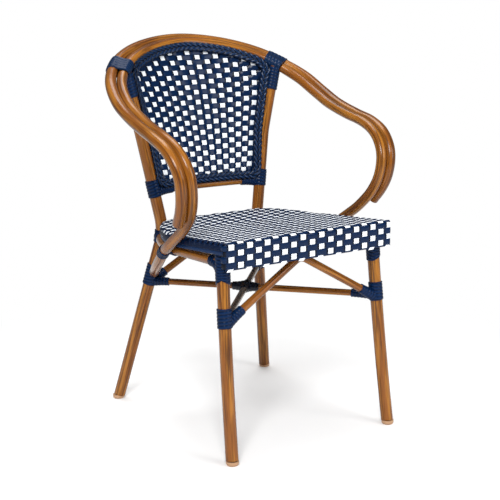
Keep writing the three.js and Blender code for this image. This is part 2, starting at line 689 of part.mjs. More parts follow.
// Back panel: its surface runs through the axes of the posts, the top rail and the bottom rail
const backRailZ = SEAT_HEIGHT + BACK_RAIL_ABOVE_SEAT;
const backRailEnd = axisAt(rearLegAxis, 'z', backRailZ);
const backRailPoint = (share) => at(
  (2 * share - 1) * backRailEnd.x,
  backRailEnd.y + BACK_RAIL_BOW * 4 * share * (1 - share),
  backRailZ,
);
const backRailAxis = spread(backRailPoint, 0, 1, 2 * RAIL_STEPS);
const topPoint = (share) => axisAt(topRailAxis, 'x', (2 * share - 1) * postJoint.x);
const postPoint = (share) => axisAt(rearLegLine, 'z', mix(backRailEnd, postJoint, share).z);

function panelAxisPoint(u, v) {
  const post = postPoint(v);
  const sides = mix(mirrored(post), post, u);
  const ends = mix(backRailPoint(u), topPoint(u), v);
  const low = mix(backRailPoint(0), backRailPoint(1), u);
  const high = mix(topPoint(0), topPoint(1), u);
  return sides.add(ends).sub(mix(low, high, v));
}

function panelPoint(u, v, forward) {
  const across = panelAxisPoint(u + SHARE_STEP, v).sub(panelAxisPoint(u - SHARE_STEP, v));
  const up = panelAxisPoint(u, v + SHARE_STEP).sub(panelAxisPoint(u, v - SHARE_STEP));
  return panelAxisPoint(u, v).addScaledVector(across.cross(up).normalize(), forward);
}

// A place within margins from the panel's posts, bottom rail and top rail
function inPanel(margins, u, v, forward) {
  const height = backRailPoint(u).distanceTo(topPoint(u));
  const low = margins.bottom / height;
  const high = margins.top / height;
  const rise = low + (1 - low - high) * v;
  const side = margins.side / (2 * postPoint(rise).x);
  return panelPoint(side + (1 - 2 * side) * u, rise, forward);
}

const grown = (margins, by) => ({
  side: margins.side + by,
  bottom: margins.bottom + by,
  top: margins.top + by,
});

// The margins at which a thing of some width lies against the tubes round the panel
const againstTubes = (width, gap) => ({
  side: (LEG_TUBE + width) / 2 + gap,
  bottom: (PANEL_RAIL_TUBE + width) / 2 + gap,
  top: (HOOP_TUBE + width) / 2 + gap,
});

addPiece('back_bottom_rail', shaped(
  [tube(backRailAxis, PANEL_RAIL_TUBE)],
  [roomOfRearLeg, roomOfOtherRearLeg],
), caneBrown);

// A closed loop of rod round the panel: a ring whose points are moved onto the loop
function rodLoop(margins, forward, diameter) {
  const geometry = new THREE.TorusGeometry(LOOP_RING, LOOP_RING / 3, ROD_SIDES, 4 * PANEL_STEPS);
  const position = geometry.attributes.position;
  const uv = geometry.attributes.uv;
  const corners = [[0, 0], [1, 0], [1, 1], [0, 1]];
  for (let i = 0; i < position.count; i += 1) {
    const place = (uv.getX(i) * 4) % 4;
    const side = Math.floor(place + SHARE_STEP) % 4;
    const share = place - Math.floor(place + SHARE_STEP);
    const [u0, v0] = corners[side];
    const [u1, v1] = corners[(side + 1) % 4];
    const turn = uv.getY(i) * 2 * Math.PI;
    const inset = -(Math.cos(turn) * diameter) / 2;
    const lift = (Math.sin(turn) * diameter) / 2;
    const p = inPanel(
      grown(margins, inset),
      u0 + (u1 - u0) * share,
      v0 + (v1 - v0) * share,
      forward + lift,
    );
    position.setXYZ(i, p.x, p.y, p.z);
  }
  geometry.computeVertexNormals();
  return geometry;
}

const rodMargins = againstTubes(PANEL_ROD, GAP);
addPiece('back_panel_rod', rodLoop(rodMargins, PANEL_FORWARD, PANEL_ROD), bareTube);

// A sheet in the panel's surface, between two distances in front of the tubes' axes
function panelSheet(margins, from, to) {
  return formed(PANEL_STEPS, PANEL_STEPS, 1, (u, v, w) => inPanel(margins, u, v, from + (to - from) * w));
}

addPiece('back_weave', panelSheet(
  grown(rodMargins, PANEL_ROD / 2 + LAY_GAP),
  PANEL_FORWARD - WEAVE_THICKNESS / 2,
  PANEL_FORWARD + WEAVE_THICKNESS / 2,
), weaveNavyWhite);

// Plaited trims: a frame of the panel's shape
function plait(margins, from, width) {
  const to = from + PLAIT_THICKNESS;
  return shaped(
    [panelSheet(margins, from, to)],
    [panelSheet(grown(margins, width), from - OVERRUN, to + OVERRUN)],
  );
}

const roomOfPlait = (margins, from) => (
  panelSheet(grown(margins, -GAP), from - GAP, from + PLAIT_THICKNESS + GAP)
);

const frontMargins = { side: PLAIT_FROM_POST, bottom: PLAIT_OVER_BOTTOM, top: PLAIT_UNDER_RAIL };
const rearMargins = againstTubes(0, LAY_GAP);
addPiece('back_plait_front', plait(frontMargins, PLAIT_FORWARD, PLAIT_WIDTH), strandNavy);
addPiece('back_plait_rear', plait(rearMargins, -PLAIT_BEHIND, REAR_PLAIT_WIDTH), strandNavy);
const panelRooms = [
  rodLoop(rodMargins, PANEL_FORWARD, PANEL_ROD + 2 * GAP),
  roomOfPlait(frontMargins, PLAIT_FORWARD),
  roomOfPlait(rearMargins, -PLAIT_BEHIND),
];

// Bindings at the shoulders
const hoopHalfLength = hoopCurve.getLength() / 2;
const shoulderReach = HOOP_BINDING_LENGTH / 2 / hoopHalfLength;
const shoulderOf = (curve) => (
  alongHoop(curve, HOOP_BINDING_SHARE - shoulderReach, HOOP_BINDING_SHARE + shoulderReach)
);
addPair('shoulder_binding', shaped([
  sleeve(shoulderOf(hoopPoint), HOOP_TUBE),
  sleeve(shoulderOf(topRailPoint), HOOP_TUBE),
], [
  roomOfHoop,
  roomOfTopRail,
  roomOfRearLeg,
  roomOf(shoulderOf(topRailPoint), HOOP_TUBE),
  ...panelRooms,
]), strandNavy);
const postBindingTop = postJoint.z - HOOP_TUBE / 2 - BINDING - 2 * GAP;
addPair('post_top_binding', shaped(
  [sleeve(betweenHeights(rearLegLine, postBindingTop - POST_TOP_BINDING_LENGTH, postBindingTop), LEG_TUBE)],
  [roomOfRearLeg, sleeve(shoulderOf(topRailPoint), HOOP_TUBE + 2 * GAP), ...panelRooms],
), strandNavy);

// Bindings round a leg, between two heights, and the tubes that meet it there
function jointBinding(legAxis, low, high, branches, rooms) {
  const sleeves = branches.map(({ stations, diameter, reach }) => (
    sleeve(firstLength(stations, 0, reach), diameter)
  ));
  return shaped([sleeve(betweenHeights(legAxis, low, high), LEG_TUBE), ...sleeves], rooms);
}

const backward = (stations) => [...stations].reverse();
const backWrapLow = backRailZ - BACK_RAIL_BINDING_LENGTH / 2;
addPair('back_rail_binding', jointBinding(rearLegAxis, backWrapLow, backWrapLow + BACK_RAIL_BINDING_LENGTH, [
  { stations: backward(backRailAxis), diameter: PANEL_RAIL_TUBE, reach: BACK_RAIL_BINDING_REACH },
], [roomOfRearLeg, roomOf(backRailAxis, PANEL_RAIL_TUBE), ...panelRooms]), strandNavy);
const waistWrapLow = REAR_RAIL_HEIGHT - WAIST_BINDING_LENGTH / 2;
addPair('seat_corner_binding', jointBinding(rearLegAxis, waistWrapLow, waistWrapLow + WAIST_BINDING_LENGTH, [
  { stations: backward(sideRailAxis), diameter: RAIL_TUBE, reach: WAIST_BINDING_REACH },
  { stations: backward(rearRailAxis), diameter: RAIL_TUBE, reach: WAIST_BINDING_REACH },
], [roomOfRearLeg, roomOfSideRail, roomOfRearRail]), strandNavy);
addPair('rear_leg_binding', jointBinding(
  rearLegAxis,
  Math.min(REAR_BRACE_HEIGHT, STRETCHER_HEIGHT) - REAR_LEG_BINDING_BELOW_TUBES,
  Math.max(REAR_BRACE_HEIGHT, STRETCHER_HEIGHT) + REAR_LEG_BINDING_ABOVE_TUBES,
  [
    { stations: backward(rearBraceAxis), diameter: BRACE_TUBE, reach: LEG_BINDING_REACH },
    { stations: backward(crossStretcherAxis), diameter: STRETCHER_TUBE, reach: LEG_BINDING_REACH },
  ],
  [roomOfRearLeg, roomOfRearBrace, roomOfCrossStretcher, roomOfArmTube, armEndPlug],
), strandNavy);
addPair('front_leg_binding', jointBinding(
  frontLegAxis,
  Math.min(FRONT_BRACE_HEIGHT, STRETCHER_HEIGHT) - FRONT_LEG_BINDING_BELOW_TUBES,
  Math.max(FRONT_BRACE_HEIGHT, STRETCHER_HEIGHT) + FRONT_LEG_BINDING_ABOVE_TUBES,
  [
    { stations: backward(frontBraceAxis), diameter: BRACE_TUBE, reach: LEG_BINDING_REACH },
    { stations: backward(longStretcherAxis), diameter: STRETCHER_TUBE, reach: STRETCHER_BINDING_REACH },
  ],
  [roomOfFrontLeg, roomOfFrontBrace, roomOfLongStretcher],
), strandNavy);
addPair('front_top_binding', jointBinding(
  frontLegAxis,
  frontLegTop.z - BINDING - FRONT_TOP_BINDING_LENGTH,
  frontLegTop.z - BINDING,
  [
    { stations: sideRailAxis, diameter: RAIL_TUBE, reach: FRONT_TOP_BINDING_REACH },
    { stations: backward(frontRailAxis), diameter: RAIL_TUBE, reach: FRONT_TOP_BINDING_REACH },
  ],
  [roomOfFrontLeg, roomOfSideRail, roomOfFrontRail],
), strandNavy);

// Binding that ties an inner arm tube to the side rail where it passes
const armCrossingPlace = armAxis.indexOf(armCrossing);
const tieHalf = (stations) => firstLength(stations, 0, ARM_CROSSING_BINDING_LENGTH / 2);
const railBehind = [railAtCrossing, ...sideRailAxis.filter((p) => p.y > railAtCrossing.y)];
const railAhead = [railAtCrossing, ...backward(sideRailAxis.filter((p) => p.y < railAtCrossing.y))];
const tie = (ahead, behind, diameter) => (
  sleeve([...backward(tieHalf(ahead)), ...tieHalf(behind).slice(1)], diameter)
);
addPair('arm_rail_binding', shaped([
  tie(backward(armAxis.slice(0, armCrossingPlace + 1)), armAxis.slice(armCrossingPlace), ARM_TUBE),
  tie(railAhead, railBehind, RAIL_TUBE),
], [roomOfArmTube, roomOfSideRail]), strandNavy);

// Binding over the stretchers' crossing
const crossingReach = (stations) => {
  const along = stations[1].clone().sub(stations[0]).normalize();
  return [-1, 1].map((way) => crossing.clone().addScaledVector(along, way * CROSSING_BINDING_REACH));
};
addPiece('crossing_binding', shaped([
  sleeve(crossingReach(longStretcherAxis), STRETCHER_TUBE),
  sleeve(crossingReach(crossStretcherAxis), STRETCHER_TUBE),
], [roomOfLongStretcher, roomOfCrossStretcher]), strandNavy);

export default chair;
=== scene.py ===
"""Looks of a stacking bistro armchair: cane-look tubes, check weave, plaits and strand bindings.

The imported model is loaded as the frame. Every size below is in millimetres, in the same place and
direction as the frame: +X to the sitter's left, the sitter faces -Y, +Z up. Meshes are in metres.
"""

import logging
import math
from bisect import bisect_right
from dataclasses import dataclass, field
from enum import Enum
from typing import Callable, Iterable, Sequence

import bmesh
import bpy
from mathutils import Matrix, Vector


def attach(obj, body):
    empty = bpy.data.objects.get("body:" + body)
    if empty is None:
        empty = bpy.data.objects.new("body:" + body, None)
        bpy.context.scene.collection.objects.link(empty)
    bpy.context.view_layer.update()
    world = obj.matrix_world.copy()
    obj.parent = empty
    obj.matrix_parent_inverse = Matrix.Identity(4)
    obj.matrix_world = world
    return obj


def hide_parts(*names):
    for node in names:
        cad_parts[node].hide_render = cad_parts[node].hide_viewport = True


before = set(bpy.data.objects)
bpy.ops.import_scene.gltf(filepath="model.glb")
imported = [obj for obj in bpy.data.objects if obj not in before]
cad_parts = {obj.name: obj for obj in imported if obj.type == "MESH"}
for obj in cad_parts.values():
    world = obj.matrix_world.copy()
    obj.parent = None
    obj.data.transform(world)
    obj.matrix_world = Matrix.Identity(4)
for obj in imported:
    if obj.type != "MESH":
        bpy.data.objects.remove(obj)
LOG = logging.getLogger("bistro_chair")
MM = 0.001
UP = Vector((0, 0, 1))
FRONT = Vector((0, -1, 0))
TINY = 1e-9  # smallest length that is divided by
NEAR_END = 1e-4  # a share this near to 0 or 1 counts as an end
NEARLY_UPRIGHT = 0.9  # a direction that rises more than this can't take up as its lifted side
TUCK = 0.5  # millimetres that a binding's ends reach into its tube
WELD = 1e-7  # metres within which the two sides of a skin's seam are one
MIRROR_SHIFT = 0.37  # metres that the pattern is moved along on a mirrored piece
STRAND_SHIFT = 0.51  # metres that it is moved along from one upright strand to the next
Points = Sequence[Vector]
Curve = Callable[[float], Vector]
Place = Callable[[float, float], Vector]
Mesh = bmesh.types.BMesh
Socket = bpy.types.NodeSocket


# Lines in space


def mix(a: Vector, b: Vector, share: float) -> Vector:
    """The point part of the way from a to b."""
    return a.lerp(b, share)


def mirrored(p: Vector) -> Vector:
    """The same point on the other side of the chair."""
    return Vector((-p.x, p.y, p.z))


def both_halves(half: Points) -> list[Vector]:
    """A whole route from one that is drawn from the chair's middle outwards."""
    return [mirrored(p) for p in reversed(half[1:])] + list(half)


def quadratic(a: Vector, b: Vector, c: Vector, steps: int) -> list[Vector]:
    """Points of a curve that leaves a and reaches c, drawn towards b."""
    return [mix(mix(a, b, i / steps), mix(b, c, i / steps), i / steps) for i in range(steps + 1)]


def cubic(a: Vector, b: Vector, c: Vector, d: Vector, steps: int) -> list[Vector]:
    """Points of a curve from a to d, drawn towards b and c."""
    first, last = quadratic(a, b, c, steps), quadratic(b, c, d, steps)
    return [mix(first[i], last[i], i / steps) for i in range(steps + 1)]


def bent(corners: Points, radii: Sequence[float], steps: int = 12) -> list[Vector]:
    """Straight runs whose corners are rounded like bends in a tube.

    Args:
        corners: the ends and the corners between them.
        radii: one bend radius for each corner between the ends.
        steps: steps in each bend.

    Returns:
        The points of the line.
    """
    line = [corners[0]]
    for before, corner, after, radius in zip(corners, corners[1:], corners[2:], radii):
        back, ahead = (before - corner).normalized(), (after - corner).normalized()
        reach = radius / math.tan(back.angle(ahead) / 2)
        line += quadratic(corner + back * reach, corner, corner + ahead * reach, steps)
    return line + [corners[-1]]


def axis_at(line: Points, coordinate: int, value: float) -> Vector:
    """The point of a line where a coordinate that grows along it has a value."""
    i = 0
    while i < len(line) - 2 and line[i + 1][coordinate] < value:
        i += 1
    low, high = line[i], line[i + 1]
    return mix(low, high, (value - low[coordinate]) / (high[coordinate] - low[coordinate]))


def between_heights(line: Points, low: float, high: float) -> list[Vector]:
    """The part of a rising line between two heights."""
    middle = [p for p in line if low < p.z < high]
    return [axis_at(line, 2, low), *middle, axis_at(line, 2, high)]


def span_at(stops: Sequence[float], value: float) -> tuple[int, float]:
    """The span between rising stops that a value lies in, and the share of the way through it."""
    low = min(max(bisect_right(stops, value) - 1, 0), len(stops) - 2)
    return low, (value - stops[low]) / max(stops[low + 1] - stops[low], TINY)


@dataclass
class SmoothCurve:
    """A centripetal curve through points."""

    points: Points

    def point(self, t: float) -> Vector:
        """The point at a share t of the way, each span counting the same."""
        spans = len(self.points) - 1
        i = min(int(t * spans), spans - 1)
        share = t * spans - i
        p1, p2 = self.points[i], self.points[i + 1]
        p0 = self.points[i - 1] if i else p1 * 2 - p2
        p3 = self.points[i + 2] if i + 2 <= spans else p2 * 2 - p1
        d0, d1, d2 = (max((b - a).length, TINY) ** 0.5 for a, b in ((p0, p1), (p1, p2), (p2, p3)))
        t1 = ((p1 - p0) / d0 - (p2 - p0) / (d0 + d1) + (p2 - p1) / d1) * d1
        t2 = ((p2 - p1) / d1 - (p3 - p1) / (d1 + d2) + (p3 - p2) / d2) * d1
        c2 = (p2 - p1) * 3 - t1 * 2 - t2
        c3 = (p1 - p2) * 2 + t1 + t2
        return p1 + t1 * share + c2 * share**2 + c3 * share**3

    def tangent(self, t: float) -> Vector:
        """The direction of travel at a share of the way."""
        low, high = max(t - NEAR_END, 0), min(t + NEAR_END, 1)
        return (self.point(high) - self.point(low)).normalized()

    def sampled(self, steps: int) -> list[Vector]:
        """Points all along the curve."""
        return [self.point(i / steps) for i in range(steps + 1)]


@dataclass
class Station:
    """A place on a line, with the directions across, lifted and along it."""

    point: Vector
    across: Vector
    lift: Vector
    along: Vector

    def out(self, x: float, y: float) -> Vector:
        """The point a way across and lifted from the line."""
        return self.point + self.across * x + self.lift * y


class Line:
    """A line with directions that are carried along it without twisting."""

    def __init__(self, points: Points, lift: Vector | None = None) -> None:
        """Measures the line and carries its directions along.

        Args:
            points: the line's points.
            lift: the lifted direction at the start, or None for the nearest to upright.
        """
        self.points = [p.copy() for p in points]
        self.walked = [0.0]
        for a, b in zip(self.points, self.points[1:]):
            self.walked.append(self.walked[-1] + (b - a).length)
        self.length = self.walked[-1]
        count = len(self.points)
        self.along = [
            (self.points[min(i + 1, count - 1)] - self.points[max(i - 1, 0)]).normalized()
            for i in range(count)
        ]
        first = lift or (UP if abs(self.along[0].z) < NEARLY_UPRIGHT else FRONT)
        self.lifts: list[Vector] = []
        for along in self.along:
            last = self.lifts[-1] if self.lifts else first
            self.lifts.append((last - along * last.dot(along)).normalized())

    def at(self, distance: float) -> Station:
        """The station at a distance from the start."""
        low, share = span_at(self.walked, distance)
        high = low + 1
        along = self.along[low].lerp(self.along[high], share).normalized()
        lift = self.lifts[low].lerp(self.lifts[high], share)
        lift = (lift - along * lift.dot(along)).normalized()
        return Station(mix(self.points[low], self.points[high], share), along.cross(lift), lift, along)

    def stretch(self, start: float, end: float, step: float = 4.0) -> "Line":
        """The part of the line between two distances."""
        count = max(2, round((end - start) / step))
        stations = [self.at(start + (end - start) * i / count) for i in range(count + 1)]
        return Line([s.point for s in stations], stations[0].lift)


# Meshes


def new_mesh() -> Mesh:
    """An empty mesh with a UV map."""
    bm = bmesh.new()
    bm.loops.layers.uv.new("UVMap")
    return bm


def at_end(share: float) -> bool:
    """Whether a share lies at 0 or at 1."""
    return share < NEAR_END or share > 1 - NEAR_END


def add_skin(
    bm: Mesh,
    around: int,
    steps: int,
    place: Place,
    uv: Callable[[float, float], tuple[float, float]],
) -> None:
    """Adds a closed skin: a grid that is rolled up round a line and closed at both ends.

    Args:
        bm: the mesh that it joins.
        around: faces round the section.
        steps: faces along the line.
        place: the point, in millimetres, at shares round the section and along the line.
        uv: the place in the UV map at the same shares.
    """
    layer = bm.loops.layers.uv.active
    made = bmesh.ops.create_grid(bm, x_segments=around, y_segments=steps, size=0.5)["verts"]
    shares = {v: (v.co.x + 0.5, v.co.y + 0.5) for v in made}
    for skin_face in {f for v in made for f in v.link_faces}:
        skin_face.smooth = True
        for loop in skin_face.loops:
            loop[layer].uv = uv(*shares[loop.vert])
    for vert, (turn, share) in shares.items():
        vert.co = place(turn, share) * MM
    seam = [v for v, (turn, _) in shares.items() if at_end(turn)]
    rims = {v for v, (_, share) in shares.items() if at_end(share)}
    open_edges = {e for v in rims for e in v.link_edges if e.is_boundary and e.other_vert(v) in rims}
    bmesh.ops.remove_doubles(bm, verts=seam, dist=WELD)
    bmesh.ops.holes_fill(bm, edges=[e for e in open_edges if e.is_valid], sides=0)


def round_tube(line: Line, diameter: float, around: int = 24, step: float = 6.0, shift: float = 0.0) -> Mesh:
    """A round bar along a line.

    Args:
        line: its axis.
        diameter: its diameter.
        around: faces round it.
        step: length of its faces.
        shift: start of the pattern along it.

    Returns:
        The mesh, with the turn and the length in metres in its UV map.
    """
    bm = new_mesh()
    steps = max(2, round(line.length / step))
    rings = [line.at(line.length * i / steps) for i in range(steps + 1)]

    def place(turn: float, share: float) -> Vector:
        """A point of the skin."""
        angle = 2 * math.pi * turn
        ring = rings[round(share * steps)]
        return ring.out(math.cos(angle) * diameter / 2, math.sin(angle) * diameter / 2)

    add_skin(bm, around, steps, place, lambda turn, share: (turn, share * line.length * MM + shift))
    return bm


def finished(bm: Mesh, crease: float = 0.8) -> Mesh:
    """Turns the faces outwards and keeps corners sharper than an angle as edges."""
    bmesh.ops.recalc_face_normals(bm, faces=bm.faces)
    for edge in bm.edges:
        edge.smooth = len(edge.link_faces) < 2 or edge.calc_face_angle(0) < crease
    return bm


def other_side(bm: Mesh) -> Mesh:
    """Mirrors a mesh to the other side of the chair."""
    bmesh.ops.scale(bm, vec=(-1, 1, 1), verts=bm.verts)
    layer = bm.loops.layers.uv.active
    for mirror_face in bm.faces:
        for loop in mirror_face.loops:
            loop[layer].uv.y += MIRROR_SHIFT
    return bm


def publish(name: str, bm: Mesh, material: bpy.types.Material, nodes: Iterable[str]) -> None:
    """Makes a mesh a piece of the chair that stands for nodes of the frame.

    Args:
        name: the piece's name.
        bm: its mesh, which is freed.
        material: its finish.
        nodes: the nodes that it stands for.
    """
    mesh = bpy.data.meshes.new(name)
    finished(bm).to_mesh(mesh)
    bm.free()
    mesh.materials.append(material)
    piece = bpy.data.objects.new(name, mesh)
    bpy.context.scene.collection.objects.link(piece)
    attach(piece, "root")
    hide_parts(*nodes)
    LOG.info("%s: %d faces", name, len(mesh.polygons))


class Side(Enum):
    """The sitter's two sides."""

    LEFT = "left"
    RIGHT = "right"


def publish_pair(
    name: str, build: Callable[[], Mesh], material: bpy.types.Material, node: str,
) -> None:
    """Makes a piece for the left node and its mirror image for the right one."""
    for side in Side:
        bm = build() if side is Side.LEFT else other_side(build())
        publish(f"{name}_{side.value}", bm, material, [f"{node}_{side.value}"])


# Finishes


def linear(red: int, green: int, blue: int) -> tuple[float, float, float, float]:
    """A colour on the screen's scale of 0 to 255 as a linear colour, by the sRGB formula."""
    parts = [c / 255 for c in (red, green, blue)]
    return tuple(p / 12.92 if p <= 0.04045 else ((p + 0.055) / 1.055) ** 2.4 for p in parts) + (1.0,)


@dataclass
class NodeBoard:
    """Short ways to add and join nodes."""

    tree: bpy.types.NodeTree

    def add(self, kind: str, **settings: object) -> bpy.types.Node:
        """Adds a node; a setting in capitals is an input, any other a property."""
        node = self.tree.nodes.new(kind)
        for name, value in settings.items():
            if name[0].isupper():
                node.inputs[name.replace("_", " ")].default_value = value
            else:
                setattr(node, name, value)
        return node

    def join(self, source: Socket, target: Socket) -> None:
        """Joins an output to an input."""
        self.tree.links.new(source, target)

    def math(self, operation: str, a: object, b: object = 0.0, c: object = 0.0) -> Socket:
        """A Math node on values or outputs."""
        node = self.add("ShaderNodeMath", operation=operation)
        for place, value in enumerate((a, b, c)):
            if isinstance(value, Socket):
                self.join(value, node.inputs[place])
            else:
                node.inputs[place].default_value = value
        return node.outputs[0]

    def blend(self, share: object, low: object, high: object) -> Socket:
        """A mix of two colours."""
        node = self.add("ShaderNodeMix", data_type="RGBA")
        for place, value in ((0, share), (6, low), (7, high)):
            if isinstance(value, Socket):
                self.join(value, node.inputs[place])
            else:
                node.inputs[place].default_value = value
        return node.outputs[2]

    def stretched(self, value: Socket, low: float, high: float) -> Socket:
        """A value spread so that low becomes 0 and high becomes 1."""
        node = self.add("ShaderNodeMapRange", interpolation_type="SMOOTHSTEP")
        node.inputs[1].default_value = low
        node.inputs[2].default_value = high
        self.join(value, node.inputs[0])
        return node.outputs[0]


def new_group(name: str, inputs: dict[str, object], outputs: dict[str, str]) -> bpy.types.NodeTree:
    """An empty node group.

    Args:
        name: its name.
        inputs: each input's name and default; a number is a value, a tuple a colour.
        outputs: each output's name and socket type.

    Returns:
        The group.
    """
    group = bpy.data.node_groups.new(name, "ShaderNodeTree")
    for title, default in inputs.items():
        kind = "NodeSocketColor" if isinstance(default, tuple) else "NodeSocketFloat"
        socket = group.interface.new_socket(name=title, in_out="INPUT", socket_type=kind)
        socket.default_value = default
    for title, kind in outputs.items():
        group.interface.new_socket(name=title, in_out="OUTPUT", socket_type=kind)
    return group


LOOK = {"Color": "NodeSocketColor", "Roughness": "NodeSocketFloat", "Height": "NodeSocketFloat"}


@dataclass(frozen=True)
class Streaks:
    """One layer of streaks.

    Attributes:
        turns: how fast it changes round the tube.
        per_metre: how fast it changes along it.
        detail: finer layers.
        bend: distortion.
        start: where in the noise it lies.
    """

    turns: float
    per_metre: float
    detail: float
    bend: float
    start: float


class CaneGrain:
    """Streaks that run along a tube, round it without a seam, as on painted cane."""

    tone = Streaks(turns=0.55, per_metre=3.2, detail=3.0, bend=0.15, start=0.0)
    broad = Streaks(turns=1.15, per_metre=7.0, detail=4.0, bend=0.2, start=11.0)
    streak = Streaks(turns=3.6, per_metre=9.0, detail=5.0, bend=0.3, start=23.0)
    hair = Streaks(turns=7.0, per_metre=14.0, detail=1.0, bend=0.1, start=37.0)
    tone_share = 0.4
    pale_range, pale_share = (0.44, 0.6), 0.8
    shade_range, shade_share = (0.48, 0.6), 0.7
    hair_range, hair_share = (0.54, 0.66), 0.4
    roughness, roughness_spread = 0.2, 0.12

    def __init__(self) -> None:
        """Builds the node group."""
        self.group = new_group(
            "cane_grain",
            {"Light": linear(167, 109, 38), "Base": linear(134, 78, 23), "Dark": linear(50, 21, 6)},
            LOOK,
        )
        board = NodeBoard(self.group)
        taken = board.add("NodeGroupInput")
        given = board.add("NodeGroupOutput")
        where = board.add("ShaderNodeSeparateXYZ")
        board.join(board.add("ShaderNodeUVMap", uv_map="UVMap").outputs[0], where.inputs[0])
        angle = board.math("MULTIPLY", where.outputs[0], 2 * math.pi)
        self.board, self.along = board, where.outputs[1]
        self.turn = (board.math("COSINE", angle), board.math("SINE", angle))
        tone, streak = self.noise(self.tone), self.noise(self.streak)
        fine = board.math("MULTIPLY", streak, 1 - self.tone_share)
        mixed = board.math("MULTIPLY_ADD", tone, self.tone_share, fine)
        pale = self.share(self.noise(self.broad), self.pale_range, self.pale_share)
        shade = self.share(mixed, self.shade_range, self.shade_share)
        lines = self.share(self.noise(self.hair), self.hair_range, self.hair_share)
        warm = board.blend(pale, taken.outputs["Base"], taken.outputs["Light"])
        deep = board.blend(shade, warm, taken.outputs["Dark"])
        board.join(board.blend(lines, deep, taken.outputs["Dark"]), given.inputs["Color"])
        gloss = board.math("MULTIPLY_ADD", streak, self.roughness_spread, self.roughness)
        board.join(gloss, given.inputs["Roughness"])
        board.join(tone, given.inputs["Height"])

    def share(self, value: Socket, spread: tuple[float, float], most: float) -> Socket:
        """How much of a colour shows: none below the spread's start, the most past its end."""
        return self.board.math("MULTIPLY", self.board.stretched(value, *spread), most)

    def noise(self, layer: Streaks) -> Socket:
        """Noise that is drawn out along the tube.

        Args:
            layer: its sizes.

        Returns:
            The noise's value.
        """
        board = self.board
        spot = board.add("ShaderNodeCombineXYZ")
        board.join(board.math("MULTIPLY_ADD", self.turn[0], layer.turns, layer.start), spot.inputs[0])
        board.join(board.math("MULTIPLY", self.turn[1], layer.turns), spot.inputs[1])
        board.join(board.math("MULTIPLY", self.along, layer.per_metre), spot.inputs[2])
        node = board.add("ShaderNodeTexNoise", Scale=1.0, Detail=layer.detail, Distortion=layer.bend)
        board.join(spot.outputs[0], node.inputs["Vector"])
        return node.outputs[0]


class StrandRibs:
    """Fine ribs along a flat strand, with painted shade in the grooves between ribs, between turns and where
    the strand dips under another.

    The UV map holds the place across the strand in metres, and upwards either metres along it or, where
    Dip Shade is used, the count of crossings in steps of the dip pitch.
    """

    dip_pitch = 0.01
    drift_scale = (400.0, 60.0, 1.0)
    drift_range, drift_shade = (0.3, 0.7), 0.16
    split_range = (0.8, 1.0)
    dip_range = (0.35, -0.75)
    roughness, roughness_spread = 0.3, 0.2
    drift_height = 0.15

    def __init__(self) -> None:
        """Builds the node group."""
        self.group = new_group(
            "strand_ribs",
            {
                # Edge is the colour of the painted shade in grooves, between turns and at dips, and of the
                # random darker patches.
                "Base": linear(12, 36, 78), "Edge": linear(2, 7, 22), "Rib Pitch": 3.0, "Rib Shade": 0.3,
                "Turn Pitch": 7.0, "Turn Shade": 0.0, "Dip Shade": 0.0,
            },
            LOOK,
        )
        board = NodeBoard(self.group)
        taken = board.add("NodeGroupInput")
        given = board.add("NodeGroupOutput")
        where = board.add("ShaderNodeSeparateXYZ")
        uv = board.add("ShaderNodeUVMap", uv_map="UVMap").outputs[0]
        board.join(uv, where.inputs[0])
        across = board.math("DIVIDE", where.outputs[0], MM)
        turns = board.math("DIVIDE", across, taken.outputs["Rib Pitch"])
        wave = board.math("COSINE", board.math("MULTIPLY", turns, 2 * math.pi))
        rib = board.math("MULTIPLY_ADD", wave, 0.5, 0.5)
        spread = board.add("ShaderNodeMapping")
        spread.inputs["Scale"].default_value = self.drift_scale
        board.join(uv, spread.inputs[0])
        drift = board.add("ShaderNodeTexNoise", Scale=1.0, Detail=2.0)
        board.join(spread.outputs[0], drift.inputs["Vector"])
        # Painted shade: the Edge colour is blended in along the grooves between ribs (Rib Shade), at the
        # lines between turns or lobes (Turn Shade) and where the strand dips under another (Dip Shade).
        groove = board.math("MULTIPLY", board.math("SUBTRACT", 1.0, rib), taken.outputs["Rib Shade"])
        count = board.math("DIVIDE", across, taken.outputs["Turn Pitch"])
        edge = board.math("ABSOLUTE", board.math("COSINE", board.math("MULTIPLY", count, math.pi)))
        split = board.math("MULTIPLY", board.stretched(edge, *self.split_range), taken.outputs["Turn Shade"])
        dip = board.math("COSINE", board.math("MULTIPLY", where.outputs[1], math.pi / self.dip_pitch))
        low = board.math("MULTIPLY", board.stretched(dip, *self.dip_range), taken.outputs["Dip Shade"])
        both = board.math("ADD", board.math("ADD", groove, split), low)
        patch = board.stretched(drift.outputs[0], *self.drift_range)
        # The painted shade plus random darker patches of drift.
        shade_and_drift = board.math("MULTIPLY_ADD", patch, self.drift_shade, both)
        board.join(board.blend(shade_and_drift, taken.outputs["Base"], taken.outputs["Edge"]), given.inputs["Color"])
        gloss = board.math("MULTIPLY_ADD", drift.outputs[0], self.roughness_spread, self.roughness)
        board.join(gloss, given.inputs["Roughness"])
        height = board.math("MULTIPLY_ADD", drift.outputs[0], self.drift_height, rib)
        board.join(height, given.inputs["Height"])


